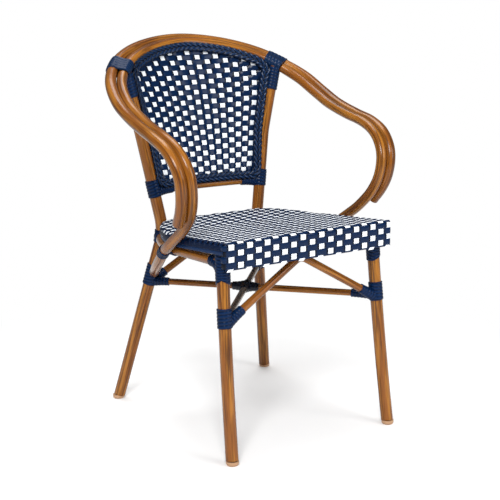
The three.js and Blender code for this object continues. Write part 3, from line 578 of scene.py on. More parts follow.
@dataclass(frozen=True)
class Finish:
    """A surface finish: its pattern, its colours and its gloss."""

    name: str
    pattern: CaneGrain | StrandRibs | None = None
    values: tuple[tuple[str, object], ...] = ()
    color: tuple[float, float, float, float] = (0.5, 0.5, 0.5, 1.0)
    metallic: float = 0.0
    roughness: float = 0.5
    coat: float = 0.0
    coat_roughness: float = 0.1
    specular: float = 0.5
    relief: float = 0.2
    relief_depth: float = 0.0003
    # Painted shade: a colour blended in where the surface turns away from the eye, darkening it towards its
    # outline.
    grazing_shade: tuple[float, float, float, float] | None = None
    grazing_shade_share: float = 0.7
    grazing_shade_power: float = 2.2
    grain_scale: float = 420.0
    patch_scale: float = 60.0
    patch_shade: float = 0.78
    patch_roughness: float = 0.15

    def material(self) -> bpy.types.Material:
        """Builds the material.

        Returns:
            A Principled material that reads the pattern, or a plain one with a fine grain.
        """
        made = bpy.data.materials.new(self.name)
        made.use_nodes = True
        board = NodeBoard(made.node_tree)
        shader = made.node_tree.nodes["Principled BSDF"]
        shader.inputs["Metallic"].default_value = self.metallic
        shader.inputs["Coat Weight"].default_value = self.coat
        shader.inputs["Coat Roughness"].default_value = self.coat_roughness
        shader.inputs["Specular IOR Level"].default_value = self.specular
        bump = board.add("ShaderNodeBump", Strength=self.relief, Distance=self.relief_depth)
        board.join(bump.outputs[0], shader.inputs["Normal"])
        if self.pattern:
            look = board.add("ShaderNodeGroup", node_tree=self.pattern.group)
            for title, value in self.values:
                look.inputs[title].default_value = value
            color = look.outputs["Color"]
            # Painted shade: the colour darkens towards the outline, the more the surface faces away from the
            # eye.
            if self.grazing_shade:
                turned = board.add("ShaderNodeLayerWeight", Blend=0.5).outputs["Facing"]
                share = board.math("MULTIPLY", board.math("POWER", turned, self.grazing_shade_power), self.grazing_shade_share)
                color = board.blend(share, color, self.grazing_shade)
            board.join(color, shader.inputs["Base Color"])
            board.join(look.outputs["Roughness"], shader.inputs["Roughness"])
            board.join(look.outputs["Height"], bump.inputs["Height"])
            return made
        here = board.add("ShaderNodeTexCoord").outputs["Object"]
        grain = board.add("ShaderNodeTexNoise", Scale=self.grain_scale, Detail=3.0)
        board.join(here, grain.inputs["Vector"])
        patches = board.add("ShaderNodeTexNoise", Scale=self.patch_scale, Detail=2.0)
        board.join(here, patches.inputs["Vector"])
        darker = tuple(c * self.patch_shade for c in self.color[:3]) + (1.0,)
        board.join(board.blend(patches.outputs[0], self.color, darker), shader.inputs["Base Color"])
        gloss = board.math("MULTIPLY_ADD", patches.outputs[0], self.patch_roughness, self.roughness)
        board.join(gloss, shader.inputs["Roughness"])
        board.join(grain.outputs[0], bump.inputs["Height"])
        return made


class Finishes:
    """All of the chair's materials."""

    def __init__(self) -> None:
        """Builds them."""
        grain, ribs = CaneGrain(), StrandRibs()
        # Colours of the painted shade towards the outlines: brown on the cane, near black on the strands.
        shade_brown, shade_night = linear(60, 30, 14), linear(2, 5, 16)
        self.cane = Finish(
            "cane_gloss", grain, coat=0.22, coat_roughness=0.16, specular=0.2, relief=0.02, grazing_shade=shade_brown,
            grazing_shade_share=0.85,
        ).material()
        # Painted shade: a darker, greyer copy of the cane finish for the two halves of the short stretcher,
        # which lie in shade under the seat.
        self.painted_shade_cane = Finish(
            "cane_shaded", grain,
            (("Light", linear(140, 124, 108)), ("Base", linear(88, 74, 62)), ("Dark", linear(26, 20, 16))),
            coat=0.3, specular=0.3, relief=0.02, grazing_shade=shade_night,
        ).material()
        # Rib Shade, Turn Shade and Dip Shade set how much painted shade a strand finish has in its grooves,
        # between its turns or lobes and where it dips.
        self.navy = Finish(
            "strand_navy", ribs, (("Base", linear(5, 35, 72)), ("Rib Shade", 0.35), ("Dip Shade", 0.85)),
            relief=0.6, coat=0.25, coat_roughness=0.14, specular=0.03,
        ).material()
        self.white = Finish(
            "strand_white", ribs,
            (
                ("Base", linear(234, 239, 244)), ("Edge", linear(192, 200, 208)),
                ("Rib Pitch", 2.7), ("Rib Shade", 0.1),
            ),
            relief=0.25, specular=0.3,
        ).material()
        self.plait = Finish(
            "plait_navy", ribs,
            (
                ("Base", linear(10, 42, 80)), ("Rib Pitch", 2.13), ("Rib Shade", 0.25),
                ("Turn Pitch", 6.4), ("Turn Shade", 0.9), ("Dip Shade", 0.6),
            ),
            relief=0.4, coat=0.35, coat_roughness=0.18, specular=0.06, grazing_shade=shade_night,
        ).material()
        self.wrap = Finish(
            "binding_navy", ribs,
            (("Base", linear(7, 37, 76)), ("Rib Pitch", 3.5), ("Rib Shade", 0.2), ("Turn Shade", 0.6)),
            relief=0.3, coat=0.2, coat_roughness=0.18, specular=0.03, grazing_shade=shade_night,
        ).material()
        self.shoulder = Finish(
            "binding_fine", ribs, (("Base", linear(10, 42, 80)), ("Rib Pitch", 3.3), ("Rib Shade", 0.5)),
            relief=0.5, coat=0.2, coat_roughness=0.22, specular=0.06, grazing_shade=shade_night,
        ).material()
        # Painted shade: a darker copy of the binding finish for the binding at the stretchers' crossing, in
        # shade under the seat.
        self.painted_shade_wrap = Finish(
            "binding_shaded", ribs,
            (("Base", linear(8, 18, 38)), ("Edge", linear(0, 1, 4)), ("Turn Shade", 0.7)),
            relief=0.3, coat=0.15, coat_roughness=0.25, specular=0.2, grazing_shade=shade_night,
        ).material()
        self.band = Finish(
            "band_navy", ribs,
            (("Base", linear(8, 30, 64)), ("Rib Shade", 0.1), ("Turn Pitch", 4.8), ("Turn Shade", 0.6)),
            relief=0.3, specular=0.03, grazing_shade=shade_night,
        ).material()
        self.lip = Finish(
            "lip_navy", ribs, (("Base", linear(18, 46, 86)), ("Edge", linear(8, 22, 48))),
            relief=0.3, specular=0.06,
        ).material()
        self.tube = Finish(
            "bare_tube", color=linear(160, 160, 158), metallic=0.8, roughness=0.35,
        ).material()
        self.glide = Finish("glide_tan", color=linear(190, 148, 112), roughness=0.5).material()


# Where everything runs


@dataclass(frozen=True)
class ChairSizes:
    """The sizes that place the tubes, in millimetres."""

    width_over_arms: float = 570
    depth: float = 550
    height: float = 818
    seat_height: float = 445
    leg_tube: float = 26
    hoop_tube: float = 24
    arm_tube: float = 22
    rail_tube: float = 22
    seat_tube: float = 18
    brace_tube: float = 16
    panel_rail_tube: float = 16
    stretcher_tube: float = 14
    panel_rod: float = 8
    gap: float = 0.3
    lay_gap: float = 0.6
    binding: float = 2.2
    weave_thickness: float = 3
    front_foot_spread: float = 400
    front_top_spread: float = 376
    front_leg_setback: float = 40
    front_leg_bow: float = 7
    rear_foot_spread: float = 407
    rear_foot_inset: float = 65
    waist_spread: float = 250
    waist_inset: float = 146
    waist_below_seat: float = 48
    waist_bend_radius: float = 130
    post_spread: float = 320
    post_inset: float = 121.5
    post_bend_above_seat: float = 153
    post_bend_radius: float = 240
    glide_height: float = 9
    hoop_route: tuple[tuple[float, float, float], ...] = (
        (0, 1, 1), (0.377, 0.924, 0.987), (0.656, 0.775, 0.959), (0.824, 0.608, 0.925),
        (0.92, 0.439, 0.893), (0.967, 0.236, 0.853), (0.976, 0.046, 0.825), (0.99, -0.202, 0.801),
        (1, -0.376, 0.787), (0.989, -0.544, 0.762), (0.971, -0.646, 0.725), (0.956, -0.677, 0.693),
        (0.94, -0.665, 0.65), (0.921, -0.616, 0.614), (0.901, -0.544, 0.583),
    )
    hoop_shoulder_share: float = 0.88
    hoop_lean: float = 0.3
    post_joint_share: float = 0.195
    rail_past_post_share: float = 0.012
    arm_tube_start: float = 0.219
    arm_tube_leaves: float = 0.985
    arm_run: tuple[tuple[float, float, float], ...] = (
        (0.47, 0.25, 0.2), (0.6, 0.42, 0.36), (0.69, 0.6, 0.53), (0.8, 0.79, 0.72),
    )
    arm_tail: tuple[tuple[float, float, float], ...] = ((0.15, 0.2, 0.26), (0.44, 0.53, 0.61))
    arm_crossing_share: float = 0.568
    arm_crossing_drop: float = 3
    arm_end_height: float = 307
    seat_front_inset: float = 25
    seat_depth: float = 368
    seat_front_width: float = 418
    seat_waist_width: float = 412
    seat_back_width: float = 210
    seat_fall: float = 21
    seat_fall_length: float = 245
    seat_fall_ease: float = 0.15
    side_rail_height: float = 398
    side_rail_set_in: float = 19
    side_rail_bend: float = 0.46
    front_rail_height: float = 403
    rear_rail_height: float = 384
    brace_height: float = 275
    brace_bend_radius: float = 26
    stretcher_height: float = 281
    back_rail_above_seat: float = 40
    back_rail_bow: float = 11

    @property
    def seat_tube_drop(self) -> float:
        """How far the axes of the tubes under the seat lie below its top."""
        return self.weave_thickness + self.lay_gap + self.seat_tube / 2


class Routes:
    """The axes of all the tubes, and how many steps each is drawn with."""

    hoop_steps = 28 * 12
    top_rail_steps = 80
    back_rail_steps = 24
    leg_steps = 24
    side_rail_steps = 20
    arm_stops = 24
    arm_steps = 8

    def __init__(self, size: ChairSizes) -> None:
        """Works out the axes.

        Args:
            size: the chair's sizes.
        """
        self.size = size
        self.front_y, self.back_y = -size.depth / 2, size.depth / 2
        self.half_width = (size.width_over_arms - size.hoop_tube) / 2
        reach, rise = (size.depth - size.hoop_tube) / 2, size.height - size.hoop_tube / 2
        half = [Vector((x * self.half_width, y * reach, z * rise)) for x, y, z in size.hoop_route]
        self.hoop_curve = SmoothCurve(both_halves(half))
        self.hoop = self.hoop_curve.sampled(self.hoop_steps)
        end = size.post_joint_share + size.rail_past_post_share
        self.top_rail = self.spread(self.top_rail_point, -end, end, self.top_rail_steps)
        self.post_joint = self.top_rail_point(size.post_joint_share)
        self.legs()
        self.rails()
        self.lower_tubes()
        self.arm = self.arm_line()

    def hoop_point(self, share: float) -> Vector:
        """The hoop's axis, from -1 at the right end over the crown to 1 at the left end."""
        return self.hoop_curve.point((1 + share) / 2)

    def beside_hoop(self, share: float, diameter: float) -> Vector:
        """The axis of a tube that lies inside the hoop, against it."""
        size = self.size
        point = self.hoop_point(share)
        along = self.hoop_curve.tangent((1 + share) / 2)
        turn = max(-1.0, min(1.0, point.x / (size.hoop_shoulder_share * self.half_width)))
        straight = math.sqrt(1 - turn * turn)
        outward = Vector((turn, straight, size.hoop_lean * straight))
        outward = (outward - along * outward.dot(along)).normalized()
        return point - outward * ((size.hoop_tube + diameter) / 2 + size.lay_gap)

    def top_rail_point(self, share: float) -> Vector:
        """The top rail's axis."""
        return self.beside_hoop(share, self.size.hoop_tube)

    @staticmethod
    def spread(curve: Curve, start: float, end: float, steps: int) -> list[Vector]:
        """Evenly spread points of a curve between two shares."""
        return [curve(start + (end - start) * i / steps) for i in range(steps + 1)]

    def seat_top(self, y: float) -> float:
        """The height of the seat's top at a place along its depth."""
        size = self.size
        share = min(1.0, (y - self.seat_front) / size.seat_fall_length)
        return size.seat_height - size.seat_fall * share * (1 + size.seat_fall_ease * (1 - share))

    def legs(self) -> None:
        """Works out the legs and the seat's extent."""
        size = self.size
        self.seat_front = self.front_y + size.seat_front_inset
        self.seat_back = self.seat_front + size.seat_depth
        waist_z = size.seat_height - size.waist_below_seat
        bend_z = size.seat_height + size.post_bend_above_seat
        waist = Vector((size.waist_spread / 2, self.back_y - size.waist_inset, waist_z))
        bend = Vector((size.post_spread / 2, self.back_y - size.post_inset, bend_z))
        self.rear_foot = Vector((size.rear_foot_spread / 2, self.back_y - size.rear_foot_inset, 0))
        down = (bend - self.post_joint).normalized()
        self.post_top = self.post_joint + down * size.hoop_tube / 4
        self.rear_leg_line = bent(
            [self.rear_foot, waist, bend, self.post_top], [size.waist_bend_radius, size.post_bend_radius],
        )
        self.rear_leg = between_heights(self.rear_leg_line, size.glide_height, self.post_top.z)
        top_y = self.seat_front + size.front_leg_setback
        under = size.seat_tube_drop + size.seat_tube / 2 + size.gap
        top_z = self.seat_top(top_y + size.leg_tube / 2) - under
        self.front_foot = Vector((size.front_foot_spread / 2, self.front_y + size.leg_tube / 2, 0))
        self.front_leg_top = Vector((size.front_top_spread / 2, top_y, top_z))
        control = mix(self.front_foot, self.front_leg_top, 0.5) + Vector((0, size.front_leg_bow, 0))
        line = quadratic(self.front_foot, control, self.front_leg_top, self.leg_steps)
        self.front_leg = between_heights(line, size.glide_height, top_z)

    def rails(self) -> None:
        """Works out the rails under the seat."""
        size = self.size
        self.front_rail_end = axis_at(self.front_leg, 2, size.front_rail_height)
        self.rear_rail_end = axis_at(self.rear_leg, 2, size.rear_rail_height)
        front = axis_at(self.front_leg, 2, size.side_rail_height)
        rear = self.rear_rail_end
        bend_y = front.y + size.side_rail_bend * (rear.y - front.y)
        fall = size.side_rail_bend * (front.z - rear.z)
        bend = Vector((size.seat_waist_width / 2 - size.side_rail_set_in, bend_y, front.z - fall))
        corner = Vector((bend.x, mix(front, rear, (1 + size.side_rail_bend) / 2).y, rear.z))
        self.side_rail = [front, mix(front, bend, 0.5), *quadratic(bend, corner, rear, self.side_rail_steps)]
        rail_z = size.seat_height + size.back_rail_above_seat
        self.back_rail_end = axis_at(self.rear_leg, 2, rail_z)
        self.back_rail = self.spread(self.back_rail_point, 0, 1, self.back_rail_steps)

    def back_rail_point(self, share: float) -> Vector:
        """The axis of the back's bottom rail."""
        end = self.back_rail_end
        bow = self.size.back_rail_bow * 4 * share * (1 - share)
        return Vector(((2 * share - 1) * end.x, end.y + bow, end.z))

    def brace(self, leg: Points, rail_end: Vector) -> list[Vector]:
        """The axis of a brace that rises from the legs to under a rail."""
        size = self.size
        foot = axis_at(leg, 2, size.brace_height)
        under = (size.rail_tube + size.brace_tube) / 2 + size.gap
        slope = math.atan2(rail_end.z - under - foot.z, foot.x)
        reach = size.brace_bend_radius * math.tan(slope)
        apex = Vector((0, rail_end.y, rail_end.z - under + reach * math.sin(slope) / 2))
        return bent([mirrored(foot), apex, foot], [size.brace_bend_radius])

    def lower_tubes(self) -> None:
        """Works out the braces and the crossing stretchers."""
        size = self.size
        self.front_brace = self.brace(self.front_leg, self.front_rail_end)
        self.rear_brace = self.brace(self.rear_leg, self.rear_rail_end)
        front = axis_at(self.front_leg, 2, size.stretcher_height)
        rear = axis_at(self.rear_leg, 2, size.stretcher_height)
        self.long_stretcher = [mirrored(rear), front]
        self.cross_stretcher = [mirrored(front), rear]
        self.crossing = mix(mirrored(rear), front, rear.x / (rear.x + front.x))

    def arm_line(self) -> list[Vector]:
        """The inner arm tube's axis, from the shoulder along the hoop and down to the rear leg."""
        size = self.size
        start, leaves = size.arm_tube_start, size.arm_tube_leaves
        stops = [i / self.arm_stops for i in range(self.arm_stops)]
        shares = [start, *[i for i in stops if start < i < leaves], leaves]
        beside = [self.beside_hoop(share, size.arm_tube) for share in shares]
        along_y = mix(self.side_rail[0], self.rear_rail_end, size.arm_crossing_share).y
        self.rail_at_crossing = axis_at(self.side_rail, 1, along_y)
        self.arm_crossing = self.rail_at_crossing + Vector(
            ((size.arm_tube + size.rail_tube) / 2 + size.gap, 0, -size.arm_crossing_drop),
        )
        leg = axis_at(self.rear_leg, 2, size.arm_end_height)
        toward = (self.arm_crossing - leg) * Vector((1, 1, 0))
        reach = (size.arm_tube + size.leg_tube) / 2 + size.binding + size.gap
        end = leg + toward.normalized() * reach

        def part_way(a: Vector, b: Vector, shares: Sequence[tuple[float, float, float]]) -> list[Vector]:
            """Points between a and b, each at its own share in each direction."""
            return [a + (b - a) * Vector(s) for s in shares]

        stations = [
            *beside,
            *reversed(part_way(self.arm_crossing, beside[-1], size.arm_run)),
            self.arm_crossing,
            *part_way(self.arm_crossing, end, size.arm_tail),
            end,
        ]
        return SmoothCurve(stations).sampled((len(stations) - 1) * self.arm_steps)


# Sub-assemblies


@dataclass
class CaneFrame:
    """The bent tubes of the frame."""

    routes: Routes
    finishes: Finishes
    around: int = 28
    single_shift: float = 1.7
    pair_shifts: tuple[float, float] = (21.0, 2.3)

    def tube(self, points: Points, diameter: float, shift: float) -> Mesh:
        """A tube of the frame along its axis."""
        return round_tube(Line(points), diameter, self.around, shift=shift)

    def build(self) -> None:
        """Builds and dresses every tube."""
        size, routes = self.routes.size, self.routes
        cane, painted_shade_cane = self.finishes.cane, self.finishes.painted_shade_cane
        front_rail = [mirrored(routes.front_rail_end), routes.front_rail_end]
        rear_rail = [mirrored(routes.rear_rail_end), routes.rear_rail_end]
        front_half = [routes.cross_stretcher[0], routes.crossing]
        rear_half = [routes.crossing, routes.cross_stretcher[1]]
        singles = {
            "outer_hoop": (routes.hoop, size.hoop_tube, cane),
            "top_rail": (routes.top_rail, size.hoop_tube, cane),
            "front_seat_rail": (front_rail, size.rail_tube, cane),
            "rear_seat_rail": (rear_rail, size.rail_tube, cane),
            "front_brace": (routes.front_brace, size.brace_tube, cane),
            "rear_brace": (routes.rear_brace, size.brace_tube, cane),
            "stretcher_long": (routes.long_stretcher, size.stretcher_tube, cane),
            "back_bottom_rail": (routes.back_rail, size.panel_rail_tube, cane),
            # The short stretcher's halves take the cane finish with painted shade.
            "stretcher_short_front": (front_half, size.stretcher_tube, painted_shade_cane),
            "stretcher_short_rear": (rear_half, size.stretcher_tube, painted_shade_cane),
        }
        for place, (node, (points, diameter, material)) in enumerate(singles.items()):
            bm = self.tube(points, diameter, place * self.single_shift)
            publish(f"{node}_cane", bm, material, [node])
        pairs = {
            "arm_tube": (routes.arm, size.arm_tube),
            "rear_leg": (routes.rear_leg, size.leg_tube),
            "front_leg": (routes.front_leg, size.leg_tube),
            "side_rail": (routes.side_rail, size.rail_tube),
        }
        first, step = self.pair_shifts
        for place, (node, (points, diameter)) in enumerate(pairs.items()):
            publish_pair(
                f"{node}_cane",
                lambda p=points, d=diameter, s=place: self.tube(p, d, first + s * step),
                cane, node,
            )


@dataclass
class EndPieces:
    """The rounded ends of the open tubes and the glides under the feet."""

    routes: Routes
    finishes: Finishes
    around: int = 28
    dome: float = 3.0
    dome_fullness: float = 0.6
    dome_steps: int = 8
    stem: float = 8.0
    wall: float = 2.0
    glide_foot: float = 23.0
    foot_bevel: tuple[float, float] = (1.0, 0.6)
    glide_waist: tuple[float, float] = (0.4, 3.2)
    glide_side: float = 5.0
    glide_bevel: tuple[float, float] = (0.5, 0.6)
    glide_gap: float = 0.4

    def turned(self, profile: Sequence[tuple[float, float]], end: Vector, out: Vector) -> Mesh:
        """Turns a profile round an axis.

        Args:
            profile: distances from the axis and along it.
            end: where the profile's zero lies.
            out: the direction of the axis.

        Returns:
            The mesh.
        """
        bm = new_mesh()
        place = Matrix.Translation(end * MM) @ UP.rotation_difference(out).to_matrix().to_4x4()
        turns = [2 * math.pi * i / self.around for i in range(self.around)]
        rings = []
        for r, h in profile:
            spots = [Vector((r * math.cos(t), r * math.sin(t), h)) for t in (turns if r else turns[:1])]
            rings.append([bm.verts.new(place @ (spot * MM)) for spot in spots])
        for low, high in zip(rings, rings[1:]):
            for i in range(self.around):
                corners = [low[i % len(low)], low[(i + 1) % len(low)]]
                corners += [high[(i + 1) % len(high)], high[i % len(high)]]
                bm.faces.new(list(dict.fromkeys(corners))).smooth = True
        return bm

    def plug(self, points: Points, diameter: float) -> Mesh:
        """The low dome on a tube's end; the first point is the end."""
        gap, radius = self.routes.size.gap, diameter / 2
        turns = [math.pi / 2 * i / self.dome_steps for i in range(self.dome_steps)]
        arc = [(radius * math.cos(t) ** self.dome_fullness, gap + self.dome * math.sin(t)) for t in turns]
        bore = radius - self.wall
        profile = [(0, -self.stem), (bore, -self.stem), (bore, gap), *arc, (0, gap + self.dome)]
        return self.turned(profile, points[0], (points[0] - points[1]).normalized())

    def glide(self, foot: Vector) -> Mesh:
        """A glide with a bevelled flat foot that flares to the leg's width."""
        low, side = self.glide_foot / 2, self.routes.size.leg_tube / 2
        top = self.routes.size.glide_height - self.glide_gap
        profile = [
            (0, 0), (low - self.foot_bevel[0], 0), (low, self.foot_bevel[1]),
            (side - self.glide_waist[0], self.glide_waist[1]), (side, self.glide_side),
            (side, top - self.glide_bevel[1]), (side - self.glide_bevel[0], top), (0, top),
        ]
        return self.turned(profile, foot, UP)

    def build(self) -> None:
        """Builds and dresses the ends and the glides."""
        routes, size, cane = self.routes, self.routes.size, self.finishes.cane
        ends = {
            "hoop_end_plug": (routes.hoop[::-1], size.hoop_tube),
            "arm_tube_upper_plug": (routes.arm, size.arm_tube),
            "arm_tube_lower_plug": (routes.arm[::-1], size.arm_tube),
        }
        for node, (points, diameter) in ends.items():
            publish_pair(
                f"{node}_cane", lambda p=points, d=diameter: self.plug(p, d), cane, node,
            )
        for node, foot in (("glide_front", routes.front_foot), ("glide_rear", routes.rear_foot)):
            tan = self.finishes.glide
            publish_pair(f"{node}_tan", lambda f=foot: self.glide(f), tan, node)


def strand_section(turn: float, width: float, thickness: float, square: float = 0.5) -> tuple[float, float]:
    """A point of a flat strand's section, at a share of the way round it."""
    angle = 2 * math.pi * turn
    c, s = math.cos(angle), math.sin(angle)
    return (
        math.copysign(abs(c) ** square, c) * width / 2,
        math.copysign(abs(s) ** square, s) * thickness / 2,
    )


def over_and_under(phase: float, steep: float) -> float:
    """1 where a strand lies on top and -1 where it dips under, at a count of crossings."""
    return max(-1.0, min(1.0, steep * math.cos(math.pi * phase)))


def crowned(across: float, width: float) -> float:
    """1 at the middle of a strand, falling to 0 at its edges."""
    return 1 - (2 * across / width) ** 2


@dataclass(frozen=True)
class EdgeStrip:
    """A strip on edge round the seat; ridges is the pitch of its upright strands, or zero."""

    inset: float
    drop: float
    height: float
    thickness: float
    ridges: float


@dataclass
class WovenSeat:
    """The seat's check weave with its apron, the band round its edge and the tubes that carry it."""

    routes: Routes
    finishes: Finishes
    around: int = 12
    weave_depth: float = 1.5
    swing: float = 0.8
    column_pitch: float = 21.9
    first_column: float = -192.0
    columns: int = 19
    crowding: float = 5.5
    crowding_middle: float = -50.0
    crowding_reach: float = 130.0
    white_width: float = 13.0
    white_thickness: float = 0.9
    white_steep: float = 2.6
    white_step: float = 2.0
    white_starts: tuple[float, float] = (-1.5, 1.0)  # of the even and the odd columns
    end_slant: float = 0.75
    end_slant_height: float = 5.0
    navy_thickness: float = 1.0
    navy_steep: float = 1.25
    navy_step: float = 2.9
    navy_fill: float = 1.02
    navy_widths: tuple[float, float] = (1.04, 0.05)  # share of the row's pitch, and its change over and under
    navy_rise: float = 0.85
    navy_crown: float = 0.35
    navy_end_gap: float = 0.5
    knob_height: float = 1.1
    knob_length: float = 9.0
    apron_bottom: float = 389.0
    edge_radius: float = 7.0
    side_radius: float = 6.0
    side_drop: float = 5.5
    hem: float = -2.0  # where the row below the first would lie
    apron_rows: tuple[float, ...] = (10.0, 22.0, 34.0, 46.0, 58.0)
    top_row_pitch: float = 9.65
    back_gap: float = 2.0
    past_back: float = 20.0
    sure_inside: tuple[float, float] = (88.0, 14.0)  # half width and way from the back where no edge is near
    waist_share: float = 0.435
    curve_share: float = 0.625
    corner_side: float = 0.85
    corner_share: float = 0.985
    corner_steps: int = 24
    rod_diameter: float = 5.0
    rod_set_in: tuple[float, float, float] = (3.0, 3.2, 2.6)  # from the side, the front and the bottom
    band: EdgeStrip = EdgeStrip(inset=0, drop=5.5, height=11.5, thickness=2.2, ridges=4.8)
    lip: EdgeStrip = EdgeStrip(inset=0.8, drop=16.6, height=8, thickness=3.0, ridges=0)
    strip_step: float = 1.6
    strip_square: float = 0.6
    strip_ridge: float = 0.3
    strip_wave: tuple[float, float] = (0.25, 17.0)  # height, and the length of a radian
    front_tube_gap: float = 4.0

    def __post_init__(self) -> None:
        """Works out the outline and the rows."""
        size, routes = self.routes.size, self.routes
        half = size.seat_waist_width / 2
        corner = cubic(
            Vector((half, routes.seat_front + self.waist_share * size.seat_depth, 0)),
            Vector((half, routes.seat_front + self.curve_share * size.seat_depth, 0)),
            Vector((self.corner_side * half, routes.seat_front + self.corner_share * size.seat_depth, 0)),
            Vector((size.seat_back_width / 2, routes.seat_back, 0)),
            self.corner_steps,
        )
        front = Vector((size.seat_front_width / 2, routes.seat_front, 0))
        self.outline = [front, *corner, Vector((0, routes.seat_back, 0))]
        self.straight = size.seat_height - self.edge_radius - self.apron_bottom
        self.round_end = self.straight + self.edge_radius * math.pi / 2
        self.length = self.round_end + size.seat_depth - self.edge_radius
        self.rows = list(self.apron_rows)
        while self.rows[-1] + self.top_row_pitch < self.length - self.back_gap:
            self.rows.append(self.rows[-1] + self.top_row_pitch)

    def edge_distance(self, x: float, y: float) -> tuple[float, Vector]:
        """How far a place is inside the seat's outline, and the way out of it.

        Args:
            x: sideways, not below zero.
            y: along the depth.

        Returns:
            The distance, below zero outside, and the outward direction.
        """
        best, way = math.inf, Vector((1, 0, 0))
        place = Vector((x, y, 0))
        for a, b in zip(self.outline, self.outline[1:]):
            run = b - a
            share = max(0.0, min(1.0, (place - a).dot(run) / run.length_squared))
            gap = (place - (a + run * share)).length
            if gap < abs(best):
                outward = Vector((run.y, -run.x, 0)).normalized()
                inside = (a - place).dot(outward) > 0
                best, way = (gap if inside else -gap), outward
        return best, way

    def surface(self, x: float, s: float, lift: float) -> Vector:
        """A place on the weave: up the apron, over the front edge and back along the top.

        Args:
            x: sideways along the weave, which bends down past the side edges.
            s: the way up the apron and back along the top.
            lift: outwards from the middle of the weave.

        Returns:
            The point.
        """
        routes, radius = self.routes, self.edge_radius
        side = 1.0 if x >= 0 else -1.0
        if s < self.round_end:
            turn = 0.0 if s < self.straight else (s - self.straight) / radius
            base = Vector((0, routes.seat_front + radius * (1 - math.cos(turn)), 0))
            base.z = self.apron_bottom + min(s, self.straight) + radius * math.sin(turn)
            normal = Vector((0, -math.cos(turn), math.sin(turn)))
            inside, way = routes.size.seat_front_width / 2 - abs(x), Vector((1, 0, 0))
        else:
            y = routes.seat_front + radius + s - self.round_end
            base = Vector((0, y, routes.seat_top(min(y, routes.seat_back))))
            normal = UP.copy()
            inside, way = math.inf, Vector((1, 0, 0))
            if abs(x) > self.sure_inside[0] or y > routes.seat_back - self.sure_inside[1]:
                inside, way = self.edge_distance(abs(x), min(y, routes.seat_back + self.past_back))
        base.x = abs(x)
        over = self.side_radius - inside
        down = -normal
        if over > 0:
            turn = min(over / self.side_radius, math.pi / 2)
            base += way * (self.side_radius * math.sin(turn) - over)
            straight = max(0.0, over - self.side_radius * math.pi / 2)
            base += down * (self.side_radius * (1 - math.cos(turn)) + straight)
            normal = normal * math.cos(turn) + way * math.sin(turn)
        base += normal * (lift - self.weave_depth)
        base.x *= side
        return base

    def left_over(self, x: float, s: float) -> float:
        """How much of the edge's bend and drop is left at a place, below zero past its end."""
        if s < self.round_end:
            inside = self.routes.size.seat_front_width / 2 - abs(x)
        else:
            y = self.routes.seat_front + self.edge_radius + s - self.round_end
            inside = self.edge_distance(abs(x), y)[0]
        return inside - self.side_radius + self.side_radius * math.pi / 2 + self.side_drop

    def row_count(self, s: float) -> float:
        """How many rows lie below a place, in shares of a row between two."""
        row, share = span_at([self.hem, *self.rows, self.rows[-1] + self.top_row_pitch], s)
        return row + share

    def column_x(self, count: float) -> float:
        """Where a column lies, with the slight crowding of the real weave left of the middle."""
        x = self.first_column + count * self.column_pitch
        near = max(0.0, 1 - abs(x - self.crowding_middle) / self.crowding_reach)
        return x - self.crowding * near * near * (3 - 2 * near)

    def white_strand(self, bm: Mesh, column: int) -> None:
        """Adds one white strand, from under the apron over the front edge to the back."""
        x = self.column_x(column)
        start = self.white_starts[column % 2]
        end = start
        while end < self.length + self.past_back and self.left_over(x, end) > 0:
            end += self.white_step
        steps = int((end - start) / self.white_step)
        stops = [start + (end - start) * i / steps for i in range(steps + 1)]

        def place(turn: float, share: float) -> Vector:
            """A point of the strand."""
            s = stops[round(share * steps)]
            across, up = strand_section(turn, self.white_width, self.white_thickness)
            height = self.swing * over_and_under(self.row_count(s) + column, self.white_steep)
            slant = -self.end_slant * max(0.0, self.end_slant_height - s) if column % 2 == 0 else 0.0
            return self.surface(x + across + slant, s, height + up)

        length = end - start
        add_skin(bm, self.around, steps, place, lambda turn, share: (
            strand_section(turn, self.white_width, 1)[0] * MM, share * length * MM + column * STRAND_SHIFT,
        ))

    def navy_row(self, bm: Mesh, number: int, s: float) -> None:
        """Adds one navy strand across the seat."""
        after = self.rows[number + 1] if number + 1 < len(self.rows) else s + self.top_row_pitch
        before = self.rows[number - 1] if number else 2 * s - after
        full = min(s - before, after - s) * self.navy_fill
        half = 1.0
        while self.left_over(half, s) > self.navy_end_gap:
            half += 1.0
        steps = round(half * 2 / self.navy_step)

        def crossings(x: float) -> float:
            """The count of crossings at a place, even where the strand lies on top."""
            count = (x - self.first_column) / self.column_pitch
            for _ in range(2):
                count += (x - self.column_x(count)) / self.column_pitch
            return count + number

        def place(turn: float, share: float) -> Vector:
            """A point of the strand."""
            x = (2 * share - 1) * half
            wave = over_and_under(crossings(x), self.navy_steep)
            width = full * (self.navy_widths[0] + self.navy_widths[1] * wave)
            across, up = strand_section(turn, width, self.navy_thickness)
            crown = self.navy_crown * crowned(across, full) if up * wave > 0 else 0.0
            lift = (self.swing * self.navy_rise + crown) * wave + up
            if s < self.round_end and up > 0:
                near_end = max(0.0, 1 - (half - abs(x)) / self.knob_length)
                lift += self.knob_height * near_end * max(0.0, crowned(across, full))
            return self.surface(x, s + across, lift)

        # The crossing count in the UV map lets Dip Shade paint shade where the strand dips under a white one.
        add_skin(bm, self.around, steps, place, lambda turn, share: (
            strand_section(turn, full, 1)[0] * MM, crossings((2 * share - 1) * half) * StrandRibs.dip_pitch,
        ))

